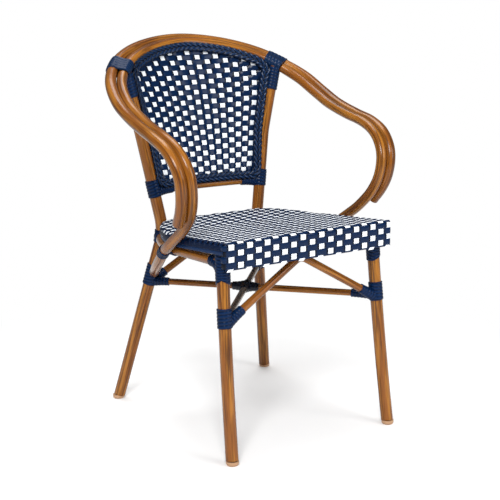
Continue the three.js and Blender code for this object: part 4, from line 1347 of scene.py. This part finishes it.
    def around_edge(self, inset: float, drop: float) -> list[Vector]:
        """The outline moved inwards and below the seat's top, from the left front round the back."""
        edge = [self.outline[0] + Vector((0, self.edge_radius, 0)), *self.outline[1:]]
        half = []
        for i, p in enumerate(edge):
            after = edge[i + 1] if i + 1 < len(edge) else mirrored(edge[i - 1])
            along = (after - edge[max(0, i - 1)]).normalized()
            x, y = p.x - along.y * inset, p.y + along.x * inset
            half.append(Vector((x, y, self.routes.seat_top(y) - drop)))
        return half + [mirrored(p) for p in reversed(half[:-1])]

    def strip(self, sizes: EdgeStrip) -> Mesh:
        """A strip on edge round the seat."""
        bm = new_mesh()
        edge = self.around_edge(sizes.inset + sizes.thickness / 2, sizes.drop + sizes.height / 2)
        line = Line(edge, UP)
        steps = round(line.length / self.strip_step)
        rings = [line.at(line.length * i / steps) for i in range(steps + 1)]

        def place(turn: float, share: float) -> Vector:
            """A point of the strip."""
            walked = share * line.length
            swell = self.strip_wave[0] * math.sin(walked / self.strip_wave[1])
            if sizes.ridges:
                swell = self.strip_ridge * math.cos(2 * math.pi * walked / sizes.ridges)
            across, up = strand_section(turn, sizes.thickness + swell, sizes.height, self.strip_square)
            return rings[round(share * steps)].out(across, up)

        # The UV map along the strip lets Turn Shade paint shade lines at the pitch of its upright strands.
        add_skin(bm, self.around, steps, place, lambda turn, share: (
            share * line.length * MM, turn * sizes.height * MM,
        ))
        return bm

    def build(self) -> None:
        """Builds and dresses the seat."""
        finishes, size, routes = self.finishes, self.routes.size, self.routes
        white = new_mesh()
        for column in range(self.columns):
            self.white_strand(white, column)
        publish("seat_white_strands", white, finishes.white, ["seat_weave"])
        navy = new_mesh()
        for number, s in enumerate(self.rows):
            self.navy_row(navy, number, s)
        publish("seat_navy_strands", navy, finishes.navy, ["seat_weave"])
        across, back, up = self.rod_set_in
        end = Vector((size.seat_front_width / 2 - across, routes.seat_front + back, self.apron_bottom + up))
        rod = round_tube(Line([mirrored(end), end]), self.rod_diameter, around=14, step=10)
        publish("apron_rod_strand", rod, finishes.wrap, ["seat_weave"])
        band, lip = self.strip(self.band), self.strip(self.lip)
        publish("seat_edge_band_strand", band, finishes.band, ["seat_edge_band"])
        publish("seat_edge_lip_strand", lip, finishes.lip, ["seat_edge_lip"])
        drop = size.seat_tube_drop
        end = Vector((size.seat_front_width / 2 - self.front_tube_gap, routes.seat_front + drop, 0))
        end.z = routes.seat_top(end.y) - drop
        front = round_tube(Line([mirrored(end), end]), size.seat_tube, around=20, step=20)
        publish("seat_front_tube_bare", front, finishes.tube, ["seat_front_tube"])
        hoop = round_tube(Line(self.around_edge(drop, drop)), size.seat_tube, around=20, step=8)
        publish("seat_hoop_bare", hoop, finishes.tube, ["seat_hoop"])


@dataclass(frozen=True)
class Margins:
    """Distances from the panel's posts, bottom rail and top rail."""

    side: float
    bottom: float
    top: float

    def grown(self, by: float) -> "Margins":
        """Margins that are wider by a distance."""
        return Margins(self.side + by, self.bottom + by, self.top + by)


@dataclass
class PanelSurface:
    """The surface of the back panel, through the axes of the tubes round it."""

    routes: Routes
    step: float = 0.001

    def top_point(self, share: float) -> Vector:
        """A point of the top rail's axis."""
        return axis_at(self.routes.top_rail, 0, (2 * share - 1) * self.routes.post_joint.x)

    def post_point(self, share: float) -> Vector:
        """A point of the left post's axis."""
        routes = self.routes
        return axis_at(routes.rear_leg_line, 2, mix(routes.back_rail_end, routes.post_joint, share).z)

    def axis_point(self, u: float, v: float) -> Vector:
        """A point of the surface at shares across and up."""
        post = self.post_point(v)
        low_rail = self.routes.back_rail_point
        ends = mix(low_rail(u), self.top_point(u), v)
        low = mix(low_rail(0), low_rail(1), u)
        high = mix(self.top_point(0), self.top_point(1), u)
        return mix(mirrored(post), post, u) + ends - mix(low, high, v)

    def station(self, u: float, v: float) -> Station:
        """The point, its directions across and up the panel, and out of its front.

        Returns:
            A station whose across is across the panel, whose along goes up it and whose lift
            points out of its front.
        """
        step, point = self.step, self.axis_point(u, v)
        across = (self.axis_point(u + step, v) - self.axis_point(u - step, v)).normalized()
        up = (self.axis_point(u, v + step) - self.axis_point(u, v - step)).normalized()
        lift = across.cross(up).normalized()
        return Station(point, across, lift, lift.cross(across))

    def inside(self, margins: Margins, u: float, v: float) -> tuple[float, float]:
        """The surface's shares at shares of the room within margins."""
        height = (self.routes.back_rail_point(u) - self.top_point(u)).length
        low, high = margins.bottom / height, margins.top / height
        rise = low + (1 - low - high) * v
        side = margins.side / (2 * self.post_point(rise).x)
        return side + (1 - 2 * side) * u, rise


@dataclass
class WovenBack:
    """The back's check weave and the rod round it."""

    routes: Routes
    finishes: Finishes
    surface: PanelSurface
    around: int = 12
    forward: float = 6.0
    swing: float = 0.9
    columns: int = 15
    table_steps: tuple[int, int] = (400, 800)  # of the table of stations, across and up
    column_shares: tuple[float, ...] = (0.0693, 0.0677, -0.00031, -0.00008)
    bow_shares: tuple[float, ...] = (0.004, -0.027, -0.144)  # spread, lean and bow of the columns
    rows: tuple[int, int] = (-2, 28)
    row_pitch: float = 11.47
    row_start: float = 505.9
    row_sag: float = 6.1
    row_tilt: float = 0.7
    row_crowding: float = 0.0114
    row_half: float = 150.0
    white_width: float = 11.8
    white_thickness: float = 0.8
    white_steep: float = 2.6
    white_steps: int = 150
    pattern_height: float = 0.3
    navy_thickness: float = 1.2
    navy_steep: float = 1.3
    navy_steps: int = 130
    navy_widths: tuple[float, float] = (1.07, 0.07)  # as on the seat
    navy_rise: float = 0.85
    navy_crown: float = 0.35
    navy_overrun: float = 0.01
    navy_fewest: int = 8
    margin: float = 3.5
    rod_steps: int = 24
    rod_face: float = 8.0
    winding: float = 1.2

    def __post_init__(self) -> None:
        """Works out the room that the weave fills."""
        size = self.routes.size
        rod = size.panel_rod
        self.rod_margins = Margins(
            (size.leg_tube + rod) / 2 + size.gap,
            (size.panel_rail_tube + rod) / 2 + size.gap,
            (size.hoop_tube + rod) / 2 + size.gap,
        )
        self.room = self.rod_margins.grown(self.margin - rod / 2)
        self.cache: dict[tuple[int, int], Station] = {}

    def station(self, u: float, rise: float) -> Station:
        """The surface's station at shares within the weave's room, from a table of stations."""
        across, up = self.table_steps
        key = (round(u * across), round(rise * up))
        if key not in self.cache:
            place = self.surface.inside(self.room, key[0] / across, key[1] / up)
            self.cache[key] = self.surface.station(*place)
        return self.cache[key]

    def row_count(self, point: Vector) -> float:
        """Which row a place on the panel lies on, in shares between two."""
        side = point.x / self.row_half
        height = point.z - self.row_start - self.row_tilt * side - self.row_sag * side * side
        count = height / self.row_pitch
        for _ in range(2):
            count = (height + self.row_crowding * count * count) / self.row_pitch
        return count

    def rise_at(self, u: float, row: float) -> float:
        """The share up the panel where a row crosses, at a share across it."""
        low, high = self.row_count(self.station(u, 0.0).point), self.row_count(self.station(u, 1.0).point)
        share = (row - low) / (high - low)
        for _ in range(3):
            here = self.row_count(self.station(u, max(0.0, min(1.0, share))).point)
            share += (row - here) / (high - low)
        return share

    def column_u(self, column: float, rise: float) -> float:
        """The share across the panel at a column and a height."""
        side, high = column - (self.columns - 1) / 2, rise - 0.5
        first, step, square, cube = self.column_shares
        spread, lean, bow = self.bow_shares
        across = first + step * column + square * side**2 + cube * side**3
        return across + spread * side * high + lean * high + bow * high * high

    def column_count(self, u: float, rise: float) -> float:
        """Which column a place lies on, in shares between two."""
        step = self.column_shares[1]
        count = (u - self.column_shares[0]) / step
        for _ in range(3):
            count += (u - self.column_u(count, rise)) / step
        return count

    def white_strand(self, bm: Mesh, column: int) -> None:
        """Adds one upright white strand."""
        steps = self.white_steps
        line = [self.station(self.column_u(column, i / steps), i / steps) for i in range(steps + 1)]
        counts = [self.row_count(s.point) for s in line]

        def place(turn: float, share: float) -> Vector:
            """A point of the strand."""
            i = round(share * steps)
            across, up = strand_section(turn, self.white_width, self.white_thickness)
            height = self.swing * over_and_under(counts[i] + column + 1, self.white_steep)
            return line[i].out(across, self.forward + height + up)

        add_skin(bm, self.around, steps, place, lambda turn, share: (
            strand_section(turn, self.white_width, 1)[0] * MM,
            share * self.pattern_height + column * STRAND_SHIFT,
        ))

    def navy_row(self, bm: Mesh, number: int) -> None:
        """Adds one navy strand across the panel, cut where the top rail bends down past it."""
        crossed = [i / self.navy_steps for i in range(self.navy_steps + 1)]
        shares = [(u, self.rise_at(u, number)) for u in crossed]
        shares = [(u, rise) for u, rise in shares if -self.navy_overrun <= rise <= 1 + self.navy_overrun]
        if len(shares) < self.navy_fewest:
            return
        stations = [self.station(u, rise) for u, rise in shares]
        counts = [self.column_count(u, rise) + number for u, rise in shares]
        waves = [over_and_under(count, self.navy_steep) for count in counts]
        last = len(stations) - 1

        def place(turn: float, share: float) -> Vector:
            """A point of the strand."""
            i = round(share * last)
            wave, here = waves[i], stations[i]
            width = self.row_pitch * (self.navy_widths[0] + self.navy_widths[1] * wave)
            across, up = strand_section(turn, width, self.navy_thickness)
            crown = self.navy_crown * crowned(across, self.row_pitch) if up * wave > 0 else 0.0
            lift = (self.swing * self.navy_rise + crown) * wave + up
            return here.point + here.along * across + here.lift * (self.forward + lift)

        # The crossing count in the UV map lets Dip Shade paint shade where the strand dips under a white one.
        add_skin(bm, self.around, last, place, lambda turn, share: (
            strand_section(turn, self.row_pitch, 1)[0] * MM,
            counts[round(share * last)] * StrandRibs.dip_pitch,
        ))

    def rod(self, diameter: float) -> Mesh:
        """The rod round the weave, as one closed loop."""
        sides = []
        for (u0, v0), (u1, v1) in (((0, 0), (1, 0)), ((1, 0), (1, 1)), ((1, 1), (0, 1)), ((0, 1), (0, 0))):
            for i in range(self.rod_steps):
                u, v = u0 + (u1 - u0) * i / self.rod_steps, v0 + (v1 - v0) * i / self.rod_steps
                here = self.surface.station(*self.surface.inside(self.rod_margins, u, v))
                sides.append(here.point + here.lift * self.forward)
        return round_tube(Line(sides + sides[:1], FRONT), diameter, self.around, self.rod_face)

    def build(self) -> None:
        """Builds and dresses the back."""
        white = new_mesh()
        for column in range(self.columns):
            self.white_strand(white, column)
        publish("back_white_strands", white, self.finishes.white, ["back_weave"])
        navy = new_mesh()
        for number in range(*self.rows):
            self.navy_row(navy, number)
        publish("back_navy_strands", navy, self.finishes.navy, ["back_weave"])
        rod = self.routes.size.panel_rod
        publish("back_panel_rod_bare", self.rod(rod), self.finishes.tube, ["back_panel_rod"])
        winding = self.rod(rod + 2 * self.winding)
        publish("back_rod_winding", winding, self.finishes.wrap, ["back_weave"])


@dataclass
class PlaitedTrim:
    """A herringbone plait round the panel, on its front or its back."""

    name: str
    surface: PanelSurface
    finishes: Finishes
    margins: Margins
    forward: float
    facing: float = 1.0
    pitch: float = 12.8
    width: float = 20.0
    strand: float = 6.4
    square: float = 0.85
    around: int = 10
    thickness: float = 4.0
    flatness: float = 0.8
    corner_cut: float = 0.04
    side_steps: int = 20
    span_steps: int = 4
    lobe_steps: int = 10
    lobe_pitches: float = 1.75
    lobe_inset: float = 0.4
    lobe_sweep: tuple[float, float] = (1.16, 1.5)  # how far past the middle, and how it bends
    lobe_rise: tuple[float, float] = (1.5, 0.85)  # height, and how early it is reached
    lobe_sinks: tuple[float, float] = (1.8, 1.0)  # at the outer and the inner end
    lobe_swell: tuple[float, float] = (0.7, 0.3)  # least share of the width, and what the middle adds
    swell_span: tuple[float, float] = (0.15, 0.75)

    def line(self) -> list[Station]:
        """The plait's middle line, up the right side, over the top and down the left side, and back."""
        inner = self.margins.grown(self.width / 2)
        cut = self.corner_cut
        turns = ((0, 0, 0, 1), (0, 1, 1, 1), (1, 1, 1, 0), (1, 0, 0, 0))
        shares = []
        for u0, v0, u1, v1 in turns:
            for i in range(self.side_steps + 1):
                t = cut + (1 - 2 * cut) * i / self.side_steps
                shares.append((u0 + (u1 - u0) * t, v0 + (v1 - v0) * t))
        closed = SmoothCurve([Vector((u, v, 0)) for u, v in [shares[-1], *shares, shares[0], shares[1]]])
        spans, steps = len(closed.points) - 1, self.span_steps
        made = []
        for i in range(steps, (spans - 1) * steps):
            spot = closed.point(i / (spans * steps))
            here = self.surface.station(*self.surface.inside(inner, spot.x, spot.y))
            here.point = here.point + here.lift * (self.forward + self.thickness / 2)
            made.append(here)
        return made

    def lobe(self, bm: Mesh, track: "PlaitTrack", start: float, side: float) -> None:
        """Adds one strand's showing stretch, from the outer edge to just past the middle.

        Args:
            bm: the mesh.
            track: the plait's measured middle line.
            start: where along the line the stretch begins.
            side: 1 or -1.
        """
        steps, reach = self.lobe_steps, self.pitch * self.lobe_pitches
        sweep, bend = self.lobe_sweep
        height, early = self.lobe_rise
        outer, inner = self.lobe_sinks
        edge = side * (self.width / 2 - self.strand * self.lobe_inset)
        stops = []
        for i in range(steps + 1):
            t = i / steps
            lift = height * math.sin(math.pi * t**early) - outer * (1 - t) ** 3 - inner * t**3
            stops.append(track.place(start + reach * t, edge * (1 - sweep * t**bend), self.facing * lift))
        middle = Line(stops, track.lift(start) * self.facing)
        rings = [middle.at(middle.length * i / steps) for i in range(steps + 1)]

        def place(turn: float, share: float) -> Vector:
            """A point of the strand."""
            bump = math.sin(math.pi * (self.swell_span[0] + share * self.swell_span[1]))
            taper = self.lobe_swell[0] + self.lobe_swell[1] * bump
            height = self.thickness * self.flatness * taper
            across, up = strand_section(turn, self.strand * taper, height, self.square)
            return rings[round(share * steps)].out(across, up)

        # The UV map places Turn Shade's painted shade at the lobe's edges and Dip Shade's at its ends, where
        # it goes under its neighbours.
        add_skin(bm, self.around, steps, place, lambda turn, share: (
            (strand_section(turn, self.strand, 1, self.square)[0] + self.strand / 2) * MM,
            (1 + 2 * share + 2 * round(start)) * StrandRibs.dip_pitch,
        ))

    def build(self) -> None:
        """Builds and dresses the plait."""
        track = PlaitTrack(self.line())
        count = round(track.length / self.pitch)
        bm = new_mesh()
        for i in range(count):
            start = i * track.length / count
            self.lobe(bm, track, start, 1.0)
            self.lobe(bm, track, start + self.pitch / 2, -1.0)
        publish(f"{self.name}_strand", bm, self.finishes.plait, [self.name])


class PlaitTrack:
    """The closed middle line of a plait, measured along its length."""

    def __init__(self, stations: Sequence[Station]) -> None:
        """Measures the line."""
        self.stations = list(stations)
        self.walked = [0.0]
        looped = self.stations + self.stations[:1]
        for a, b in zip(looped, looped[1:]):
            self.walked.append(self.walked[-1] + (b.point - a.point).length)
        self.length = self.walked[-1]

    def find(self, distance: float) -> tuple[int, int, float]:
        """The stations before and after a distance, and the share between them."""
        low, share = span_at(self.walked, distance % self.length)
        return low, (low + 1) % len(self.stations), share

    def lift(self, distance: float) -> Vector:
        """The way out of the panel's front at a distance."""
        low, high, share = self.find(distance)
        return self.stations[low].lift.lerp(self.stations[high].lift, share).normalized()

    def place(self, distance: float, away: float, lift: float) -> Vector:
        """A point beside the line, outwards from the panel's middle for a positive distance away."""
        low, high, share = self.find(distance)
        a, b = self.stations[low], self.stations[high]
        behind, ahead = self.stations[low - 1], self.stations[(high + 1) % len(self.stations)]
        along = mix(b.point - behind.point, ahead.point - a.point, share).normalized()
        out = self.lift(distance)
        return mix(a.point, b.point, share) + out.cross(along).normalized() * away + out * lift


@dataclass
class Winding:
    """Flat strand wound round a stretch of tube.

    Attributes:
        points: the tube's axis along the stretch.
        radius: the tube's radius.
        pitch: width of a turn.
        slant: how many turns the strand climbs in one round.
        flare: extra radius at the start, as the strands lead over to a neighbour.
        fade: how soon the flare dies away.
        notch: how far the start's edge is cut back towards one side, and that side.
    """

    points: Points
    radius: float
    pitch: float = 7.0
    slant: float = 1.0
    flare: float = 0.0
    fade: float = 2.0
    notch: tuple[float, Vector] | None = None
    around: int = 32
    turn_steps: int = 7
    fewest_steps: int = 12
    thickness: float = 2.2
    ridge: float = 0.9
    notch_narrow: float = 2.2
    notch_reach: float = 0.6

    def add(self, bm: Mesh) -> None:
        """Adds the winding to a mesh."""
        line = Line(self.points)
        steps = max(self.fewest_steps, round(line.length / self.pitch * self.turn_steps))
        rings = [line.at(line.length * i / steps) for i in range(steps + 1)]
        first = rings[0]
        facing = None
        if self.notch:
            side = self.notch[1]
            facing = math.atan2(side.dot(first.lift), side.dot(first.across))

        def place(turn: float, share: float) -> Vector:
            """A point of the winding."""
            angle = 2 * math.pi * turn
            walked = share * line.length
            ring = rings[round(share * steps)]
            phase = walked / self.pitch - self.slant * turn
            if facing is not None:
                away = abs((angle - facing + math.pi) % (2 * math.pi) - math.pi) / math.pi
                phase = walked / self.pitch - self.slant * away * 2
                start = self.notch[0] * max(0.0, 1 - away * self.notch_narrow)
                shift = start * max(0.0, 1 - walked / (line.length * self.notch_reach))
                ring = line.at(min(line.length, walked + shift))
            f = phase - math.floor(phase)
            bump = self.ridge * (1 - abs(2 * f - 1) ** 3)
            radius = self.radius + self.thickness - self.ridge + bump + self.flare * (1 - share) ** self.fade
            if at_end(share):
                radius = self.radius - TUCK
            return ring.out(math.cos(angle) * radius, math.sin(angle) * radius)

        # The UV map places Turn Shade's painted shade on the grooves between the turns.
        add_skin(bm, self.around, steps, place, lambda turn, share: (
            (share * line.length - self.slant * self.pitch * turn) * MM,
            turn * 2 * math.pi * self.radius * MM,
        ))


@dataclass(frozen=True)
class Branch:
    """A binding's branch onto a tube that meets the leg.

    Attributes:
        points: the tube's axis, from the leg.
        diameter: the tube's diameter.
        reach: how far the branch goes along it.
        hang: how far below the joint its strands leave the leg, or zero where they go straight on.
    """

    points: Points
    diameter: float
    reach: float
    hang: float = 0.0


@dataclass(frozen=True)
class ShoulderLoop:
    """Sizes of the binding that goes round the hoop and the top rail together."""

    place: float = 0.19
    length: float = 38.0
    pattern_length: float = 36.0
    pitch: float = 7.0
    cover: float = 2.2
    slant: float = 1.6
    sag: float = 1.6
    ridge: float = 1.0
    stations: int = 12
    steps: int = 44
    around: int = 56


@dataclass
class StrandBindings:
    """The strand bindings over the joints."""

    routes: Routes
    finishes: Finishes
    loop: ShoulderLoop = ShoulderLoop()
    setback: float = 8.0
    branch_flare: float = 3.0
    elbow_inset: float = 0.2
    elbow_steps: int = 12
    elbow_flare: tuple[float, float] = (0.5, 3.5)  # the least, and how far it stays short of the leg's radius
    post_rise: float = 5.0
    post_length: float = 51.0
    front_length: float = 61.0
    front_notch: float = 9.0
    front_slant: float = 1.6
    arm_reach: float = 13.0
    rail_reaches: tuple[float, float] = (15.0, 13.0)  # forwards and backwards
    rail_steps: int = 200
    crossing_ends: tuple[float, float] = (4.0, 30.0)  # from the crossing
    crossing_flare: float = 4.0

    @staticmethod
    def wound(*windings: Winding) -> Mesh:
        """One binding made of several windings."""
        bm = new_mesh()
        for winding in windings:
            winding.add(bm)
        return bm

    def shoulder(self) -> Mesh:
        """The binding that ties the hoop to the top rail."""
        routes, size, loop = self.routes, self.routes.size, self.loop
        reach = loop.length / Line(routes.hoop).length
        low, high = loop.place - reach, loop.place + reach
        curves = routes.hoop_point, routes.top_rail_point
        lines = [Line(routes.spread(curve, low, high, loop.stations)) for curve in curves]
        bm = new_mesh()
        radius = size.hoop_tube / 2 + loop.cover
        arc, flat = math.pi * radius, size.hoop_tube + size.lay_gap
        perimeter = 2 * (arc + flat)

        def place(turn: float, share: float) -> Vector:
            """A point of the loop round both tubes."""
            a, b = (line.at(line.length * share) for line in lines)
            toward = a.point - b.point
            side = (toward - b.along * toward.dot(b.along)).normalized()
            up = b.along.cross(side)
            f = share * loop.pattern_length / loop.pitch - loop.slant * turn
            f -= math.floor(f)
            r = radius - loop.ridge * (1 - math.sqrt(max(0.0, 1 - (2 * f - 1) ** 2)))
            if at_end(share):
                r = size.hoop_tube / 2 - TUCK
            run = (turn % 1.0) * perimeter
            if run >= arc + flat:
                a, b, up, side, run = b, a, -up, -side, run - arc - flat
            if run < arc:
                angle = run / radius - math.pi / 2
                return a.point + side * r * math.cos(angle) + up * r * math.sin(angle)
            beyond = (run - arc) / flat
            sag = loop.sag * math.sin(math.pi * beyond)
            return mix(a.point, b.point, beyond) + up * (r - sag)

        add_skin(bm, loop.around, loop.steps, place, lambda turn, share: (
            (share * loop.pattern_length - loop.slant * loop.pitch * turn) * MM, turn * perimeter * MM,
        ))
        return bm

    def post_top(self) -> Mesh:
        """The binding at the top of a post."""
        routes, size = self.routes, self.routes.size
        top = routes.post_joint.z - size.hoop_tube / 2 + self.post_rise
        post = between_heights(routes.rear_leg_line, top - self.post_length, top)
        return self.wound(Winding(post, size.leg_tube / 2))

    def joint(self, leg: Points, middle: float, length: float, branches: Sequence[Branch]) -> Mesh:
        """A binding round a leg with branches onto the tubes that meet it.

        Args:
            leg: the leg's axis.
            middle: the height of the binding's middle.
            length: its length along the leg.
            branches: its branches.

        Returns:
            The mesh.
        """
        radius = self.routes.size.leg_tube / 2
        windings = [Winding(between_heights(leg, middle - length / 2, middle + length / 2), radius)]
        for branch in branches:
            if branch.hang:
                windings.append(self.elbow(leg, branch))
            stretch = Line(branch.points).stretch(self.setback, branch.reach)
            windings.append(Winding(stretch.points, branch.diameter / 2, flare=self.branch_flare))
        return self.wound(*windings)

    def elbow(self, leg: Points, branch: Branch) -> Winding:
        """Strands that leave a leg below a joint and bend onto the tube that meets it."""
        joint = branch.points[0]
        low = axis_at(leg, 2, joint.z - branch.hang)
        path = quadratic(low, joint, Line(branch.points).at(branch.reach).point, self.elbow_steps)
        radius, (least, under) = branch.diameter / 2, self.elbow_flare
        flare = max(least, self.routes.size.leg_tube / 2 - radius - under)
        return Winding(path, radius - self.elbow_inset, flare=flare, fade=1.0)

    def front_top(self) -> Mesh:
        """The binding at the top of a front leg, whose lower edge rises to a peak at the corner."""
        routes, size = self.routes, self.routes.size
        top = routes.front_leg_top.z - size.binding
        leg = between_heights(routes.front_leg, top - self.front_length, top)
        corner = Vector((1, -1, 0)).normalized()
        front = [routes.front_rail_end, mirrored(routes.front_rail_end)]
        return self.wound(
            Winding(leg, size.leg_tube / 2, notch=(self.front_notch, corner), slant=self.front_slant),
            self.elbow(routes.front_leg, Branch(routes.side_rail, size.rail_tube, reach=36, hang=36)),
            self.elbow(routes.front_leg, Branch(front, size.rail_tube, reach=36, hang=30)),
        )

    def arm_rail(self) -> Mesh:
        """The binding that ties an arm tube to the side rail."""
        routes, size = self.routes, self.routes.size
        arm, rail = Line(routes.arm), Line(routes.side_rail)
        near = min(range(len(arm.points)), key=lambda i: (arm.points[i] - routes.arm_crossing).length)
        middle = arm.walked[near]
        spot = min(
            (rail.length * i / self.rail_steps for i in range(self.rail_steps + 1)),
            key=lambda d: (rail.at(d).point - routes.rail_at_crossing).length,
        )
        before, after = self.rail_reaches
        return self.wound(
            Winding(arm.stretch(middle - self.arm_reach, middle + self.arm_reach).points, size.arm_tube / 2),
            Winding(rail.stretch(spot - before, spot + after).points, size.rail_tube / 2),
        )

    def crossing(self) -> Mesh:
        """The binding over the stretchers' crossing."""
        routes = self.routes
        windings = []
        for line in (routes.long_stretcher, routes.cross_stretcher):
            along = (line[1] - line[0]).normalized()
            for way in (-1, 1):
                ends = [routes.crossing + along * way * end for end in self.crossing_ends]
                windings.append(Winding(ends, routes.size.stretcher_tube / 2, flare=self.crossing_flare))
        return self.wound(*windings)

    def build(self) -> None:
        """Builds and dresses all the bindings."""
        routes, size, finishes = self.routes, self.routes.size, self.finishes
        rear_rail = [routes.rear_rail_end, mirrored(routes.rear_rail_end)]
        back_z, seat_z = routes.back_rail_end.z + 5, size.rear_rail_height
        pairs = {
            "shoulder_binding": self.shoulder,
            "post_top_binding": self.post_top,
            "back_rail_binding": lambda: self.joint(routes.rear_leg, middle=back_z, length=38, branches=[
                Branch(routes.back_rail[::-1], size.panel_rail_tube, reach=50, hang=12),
            ]),
            "seat_corner_binding": lambda: self.joint(routes.rear_leg, middle=seat_z, length=30, branches=[
                Branch(routes.side_rail[::-1], size.rail_tube, reach=30),
                Branch(rear_rail, size.rail_tube, reach=30),
            ]),
            "rear_leg_binding": lambda: self.joint(routes.rear_leg, middle=296, length=46, branches=[
                Branch(routes.rear_brace[::-1], size.brace_tube, reach=46),
                Branch(routes.cross_stretcher[::-1], size.stretcher_tube, reach=46),
            ]),
            "front_leg_binding": lambda: self.joint(routes.front_leg, middle=289, length=40, branches=[
                Branch(routes.front_brace[::-1], size.brace_tube, reach=50, hang=5),
                Branch(routes.long_stretcher[::-1], size.stretcher_tube, reach=54),
            ]),
            "front_top_binding": self.front_top,
            "arm_rail_binding": self.arm_rail,
        }
        for node, build in pairs.items():
            finish = finishes.shoulder if node == "shoulder_binding" else finishes.wrap
            publish_pair(f"{node}_strand", build, finish, node)
        crossing = self.crossing()
        publish("crossing_binding_strand", crossing, finishes.painted_shade_wrap, ["crossing_binding"])


# Room and camera


@dataclass
class Studio:
    """The plain floor, the soft lights and the camera."""

    camera_place: Vector = field(default_factory=lambda: Vector((-1.3651, -2.0492, 0.9131)))
    azimuth: float = -34.25
    elevation: float = 12.25
    lens: float = 83.21
    sensor: float = 36.0
    shift: tuple[float, float] = (-0.0084, -0.0165)
    shadow_reach: tuple[float, float] = (0.35, 0.95)
    floor_size: float = 30.0
    floor_tone: float = 0.95
    floor_roughness: float = 0.9
    ambient: float = 0.5
    mirrored_light: float = 0.15
    aim_height: float = 0.45

    def camera(self) -> None:
        """Places the camera at the photograph's viewing angle."""
        data = bpy.data.cameras.new("camera")
        data.lens, data.sensor_width = self.lens, self.sensor
        data.shift_x, data.shift_y = self.shift
        camera = bpy.data.objects.new("camera", data)
        camera.location = self.camera_place
        camera.rotation_euler = (math.radians(90 - self.elevation), 0, math.radians(self.azimuth))
        bpy.context.scene.collection.objects.link(camera)
        bpy.context.scene.camera = camera

    def floor(self) -> None:
        """Lays the pale floor."""
        bm = bmesh.new()
        bmesh.ops.create_grid(bm, x_segments=1, y_segments=1, size=self.floor_size)
        mesh = bpy.data.meshes.new("floor")
        bm.to_mesh(mesh)
        bm.free()
        material = bpy.data.materials.new("floor_pale")
        material.use_nodes = True
        board = NodeBoard(material.node_tree)
        shader = material.node_tree.nodes["Principled BSDF"]
        shader.inputs["Base Color"].default_value = (*[self.floor_tone] * 3, 1)
        shader.inputs["Roughness"].default_value = self.floor_roughness
        shader.inputs["Specular IOR Level"].default_value = 0.0
        away = board.add("ShaderNodeVectorMath", operation="LENGTH")
        board.join(board.add("ShaderNodeTexCoord").outputs["Object"], away.inputs[0])
        far = board.stretched(away.outputs["Value"], self.shadow_reach[0], self.shadow_reach[1])
        seen = board.math("MULTIPLY", far, board.add("ShaderNodeLightPath").outputs["Is Camera Ray"])
        white = board.add("ShaderNodeMixShader")
        board.join(seen, white.inputs[0])
        board.join(shader.outputs[0], white.inputs[1])
        board.join(board.add("ShaderNodeEmission", Strength=1.0).outputs[0], white.inputs[2])
        board.join(white.outputs[0], material.node_tree.nodes["Material Output"].inputs["Surface"])
        mesh.materials.append(material)
        floor = bpy.data.objects.new("floor", mesh)
        bpy.context.scene.collection.objects.link(floor)

    def lamp(self, name: str, place: tuple[float, float, float], size: float, power: float) -> None:
        """Adds a soft square lamp that faces the chair."""
        data = bpy.data.lights.new(name, "AREA")
        data.size, data.energy = size, power
        lamp = bpy.data.objects.new(name, data)
        lamp.location = place
        aim = Vector((0, 0, self.aim_height)) - Vector(place)
        lamp.rotation_euler = aim.to_track_quat("-Z", "Y").to_euler()
        bpy.context.scene.collection.objects.link(lamp)

    def world(self) -> None:
        """White surroundings, dimmer for the light that they give than for the eye."""
        world = bpy.data.worlds.new("studio")
        bpy.context.scene.world = world
        world.use_nodes = True
        board = NodeBoard(world.node_tree)
        ground = world.node_tree.nodes["Background"]
        path = board.add("ShaderNodeLightPath")
        gloss = board.math("MULTIPLY", path.outputs["Is Glossy Ray"], self.mirrored_light - self.ambient)
        light = board.math("ADD", gloss, self.ambient)
        seen = board.math("MULTIPLY", path.outputs["Is Camera Ray"], 1 - self.ambient)
        board.join(board.math("ADD", light, seen), ground.inputs["Strength"])
        ground.inputs["Color"].default_value = (1, 1, 1, 1)

    def build(self) -> None:
        """Sets up the whole room."""
        self.camera()
        self.floor()
        self.world()
        self.lamp("key", place=(-1.8, -2.2, 3.0), size=1.3, power=105)
        self.lamp("fill", place=(1.3, -2.8, 1.8), size=1.6, power=36)
        self.lamp("top", place=(0.2, 0.6, 3.2), size=1.6, power=50)
        bpy.context.scene.view_settings.view_transform = "Standard"


def main() -> None:
    """Builds the chair's looks and the room."""
    logging.basicConfig(level=logging.INFO, format="%(message)s")
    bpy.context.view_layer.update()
    routes, finishes = Routes(ChairSizes()), Finishes()
    size = routes.size
    Studio().build()
    CaneFrame(routes, finishes).build()
    EndPieces(routes, finishes).build()
    WovenSeat(routes, finishes).build()
    surface = PanelSurface(routes)
    WovenBack(routes, finishes, surface).build()
    ahead = Margins(side=1.5, bottom=1.6, top=1.75)
    PlaitedTrim("back_plait_front", surface, finishes, ahead, forward=12.0, width=21.0).build()
    behind = Margins(size.leg_tube / 2, size.panel_rail_tube / 2, size.hoop_tube / 2).grown(0.6)
    PlaitedTrim("back_plait_rear", surface, finishes, behind, forward=-2.8, facing=-1.0, width=16.0).build()
    StrandBindings(routes, finishes).build()


if __name__ == "__main__":
    main()
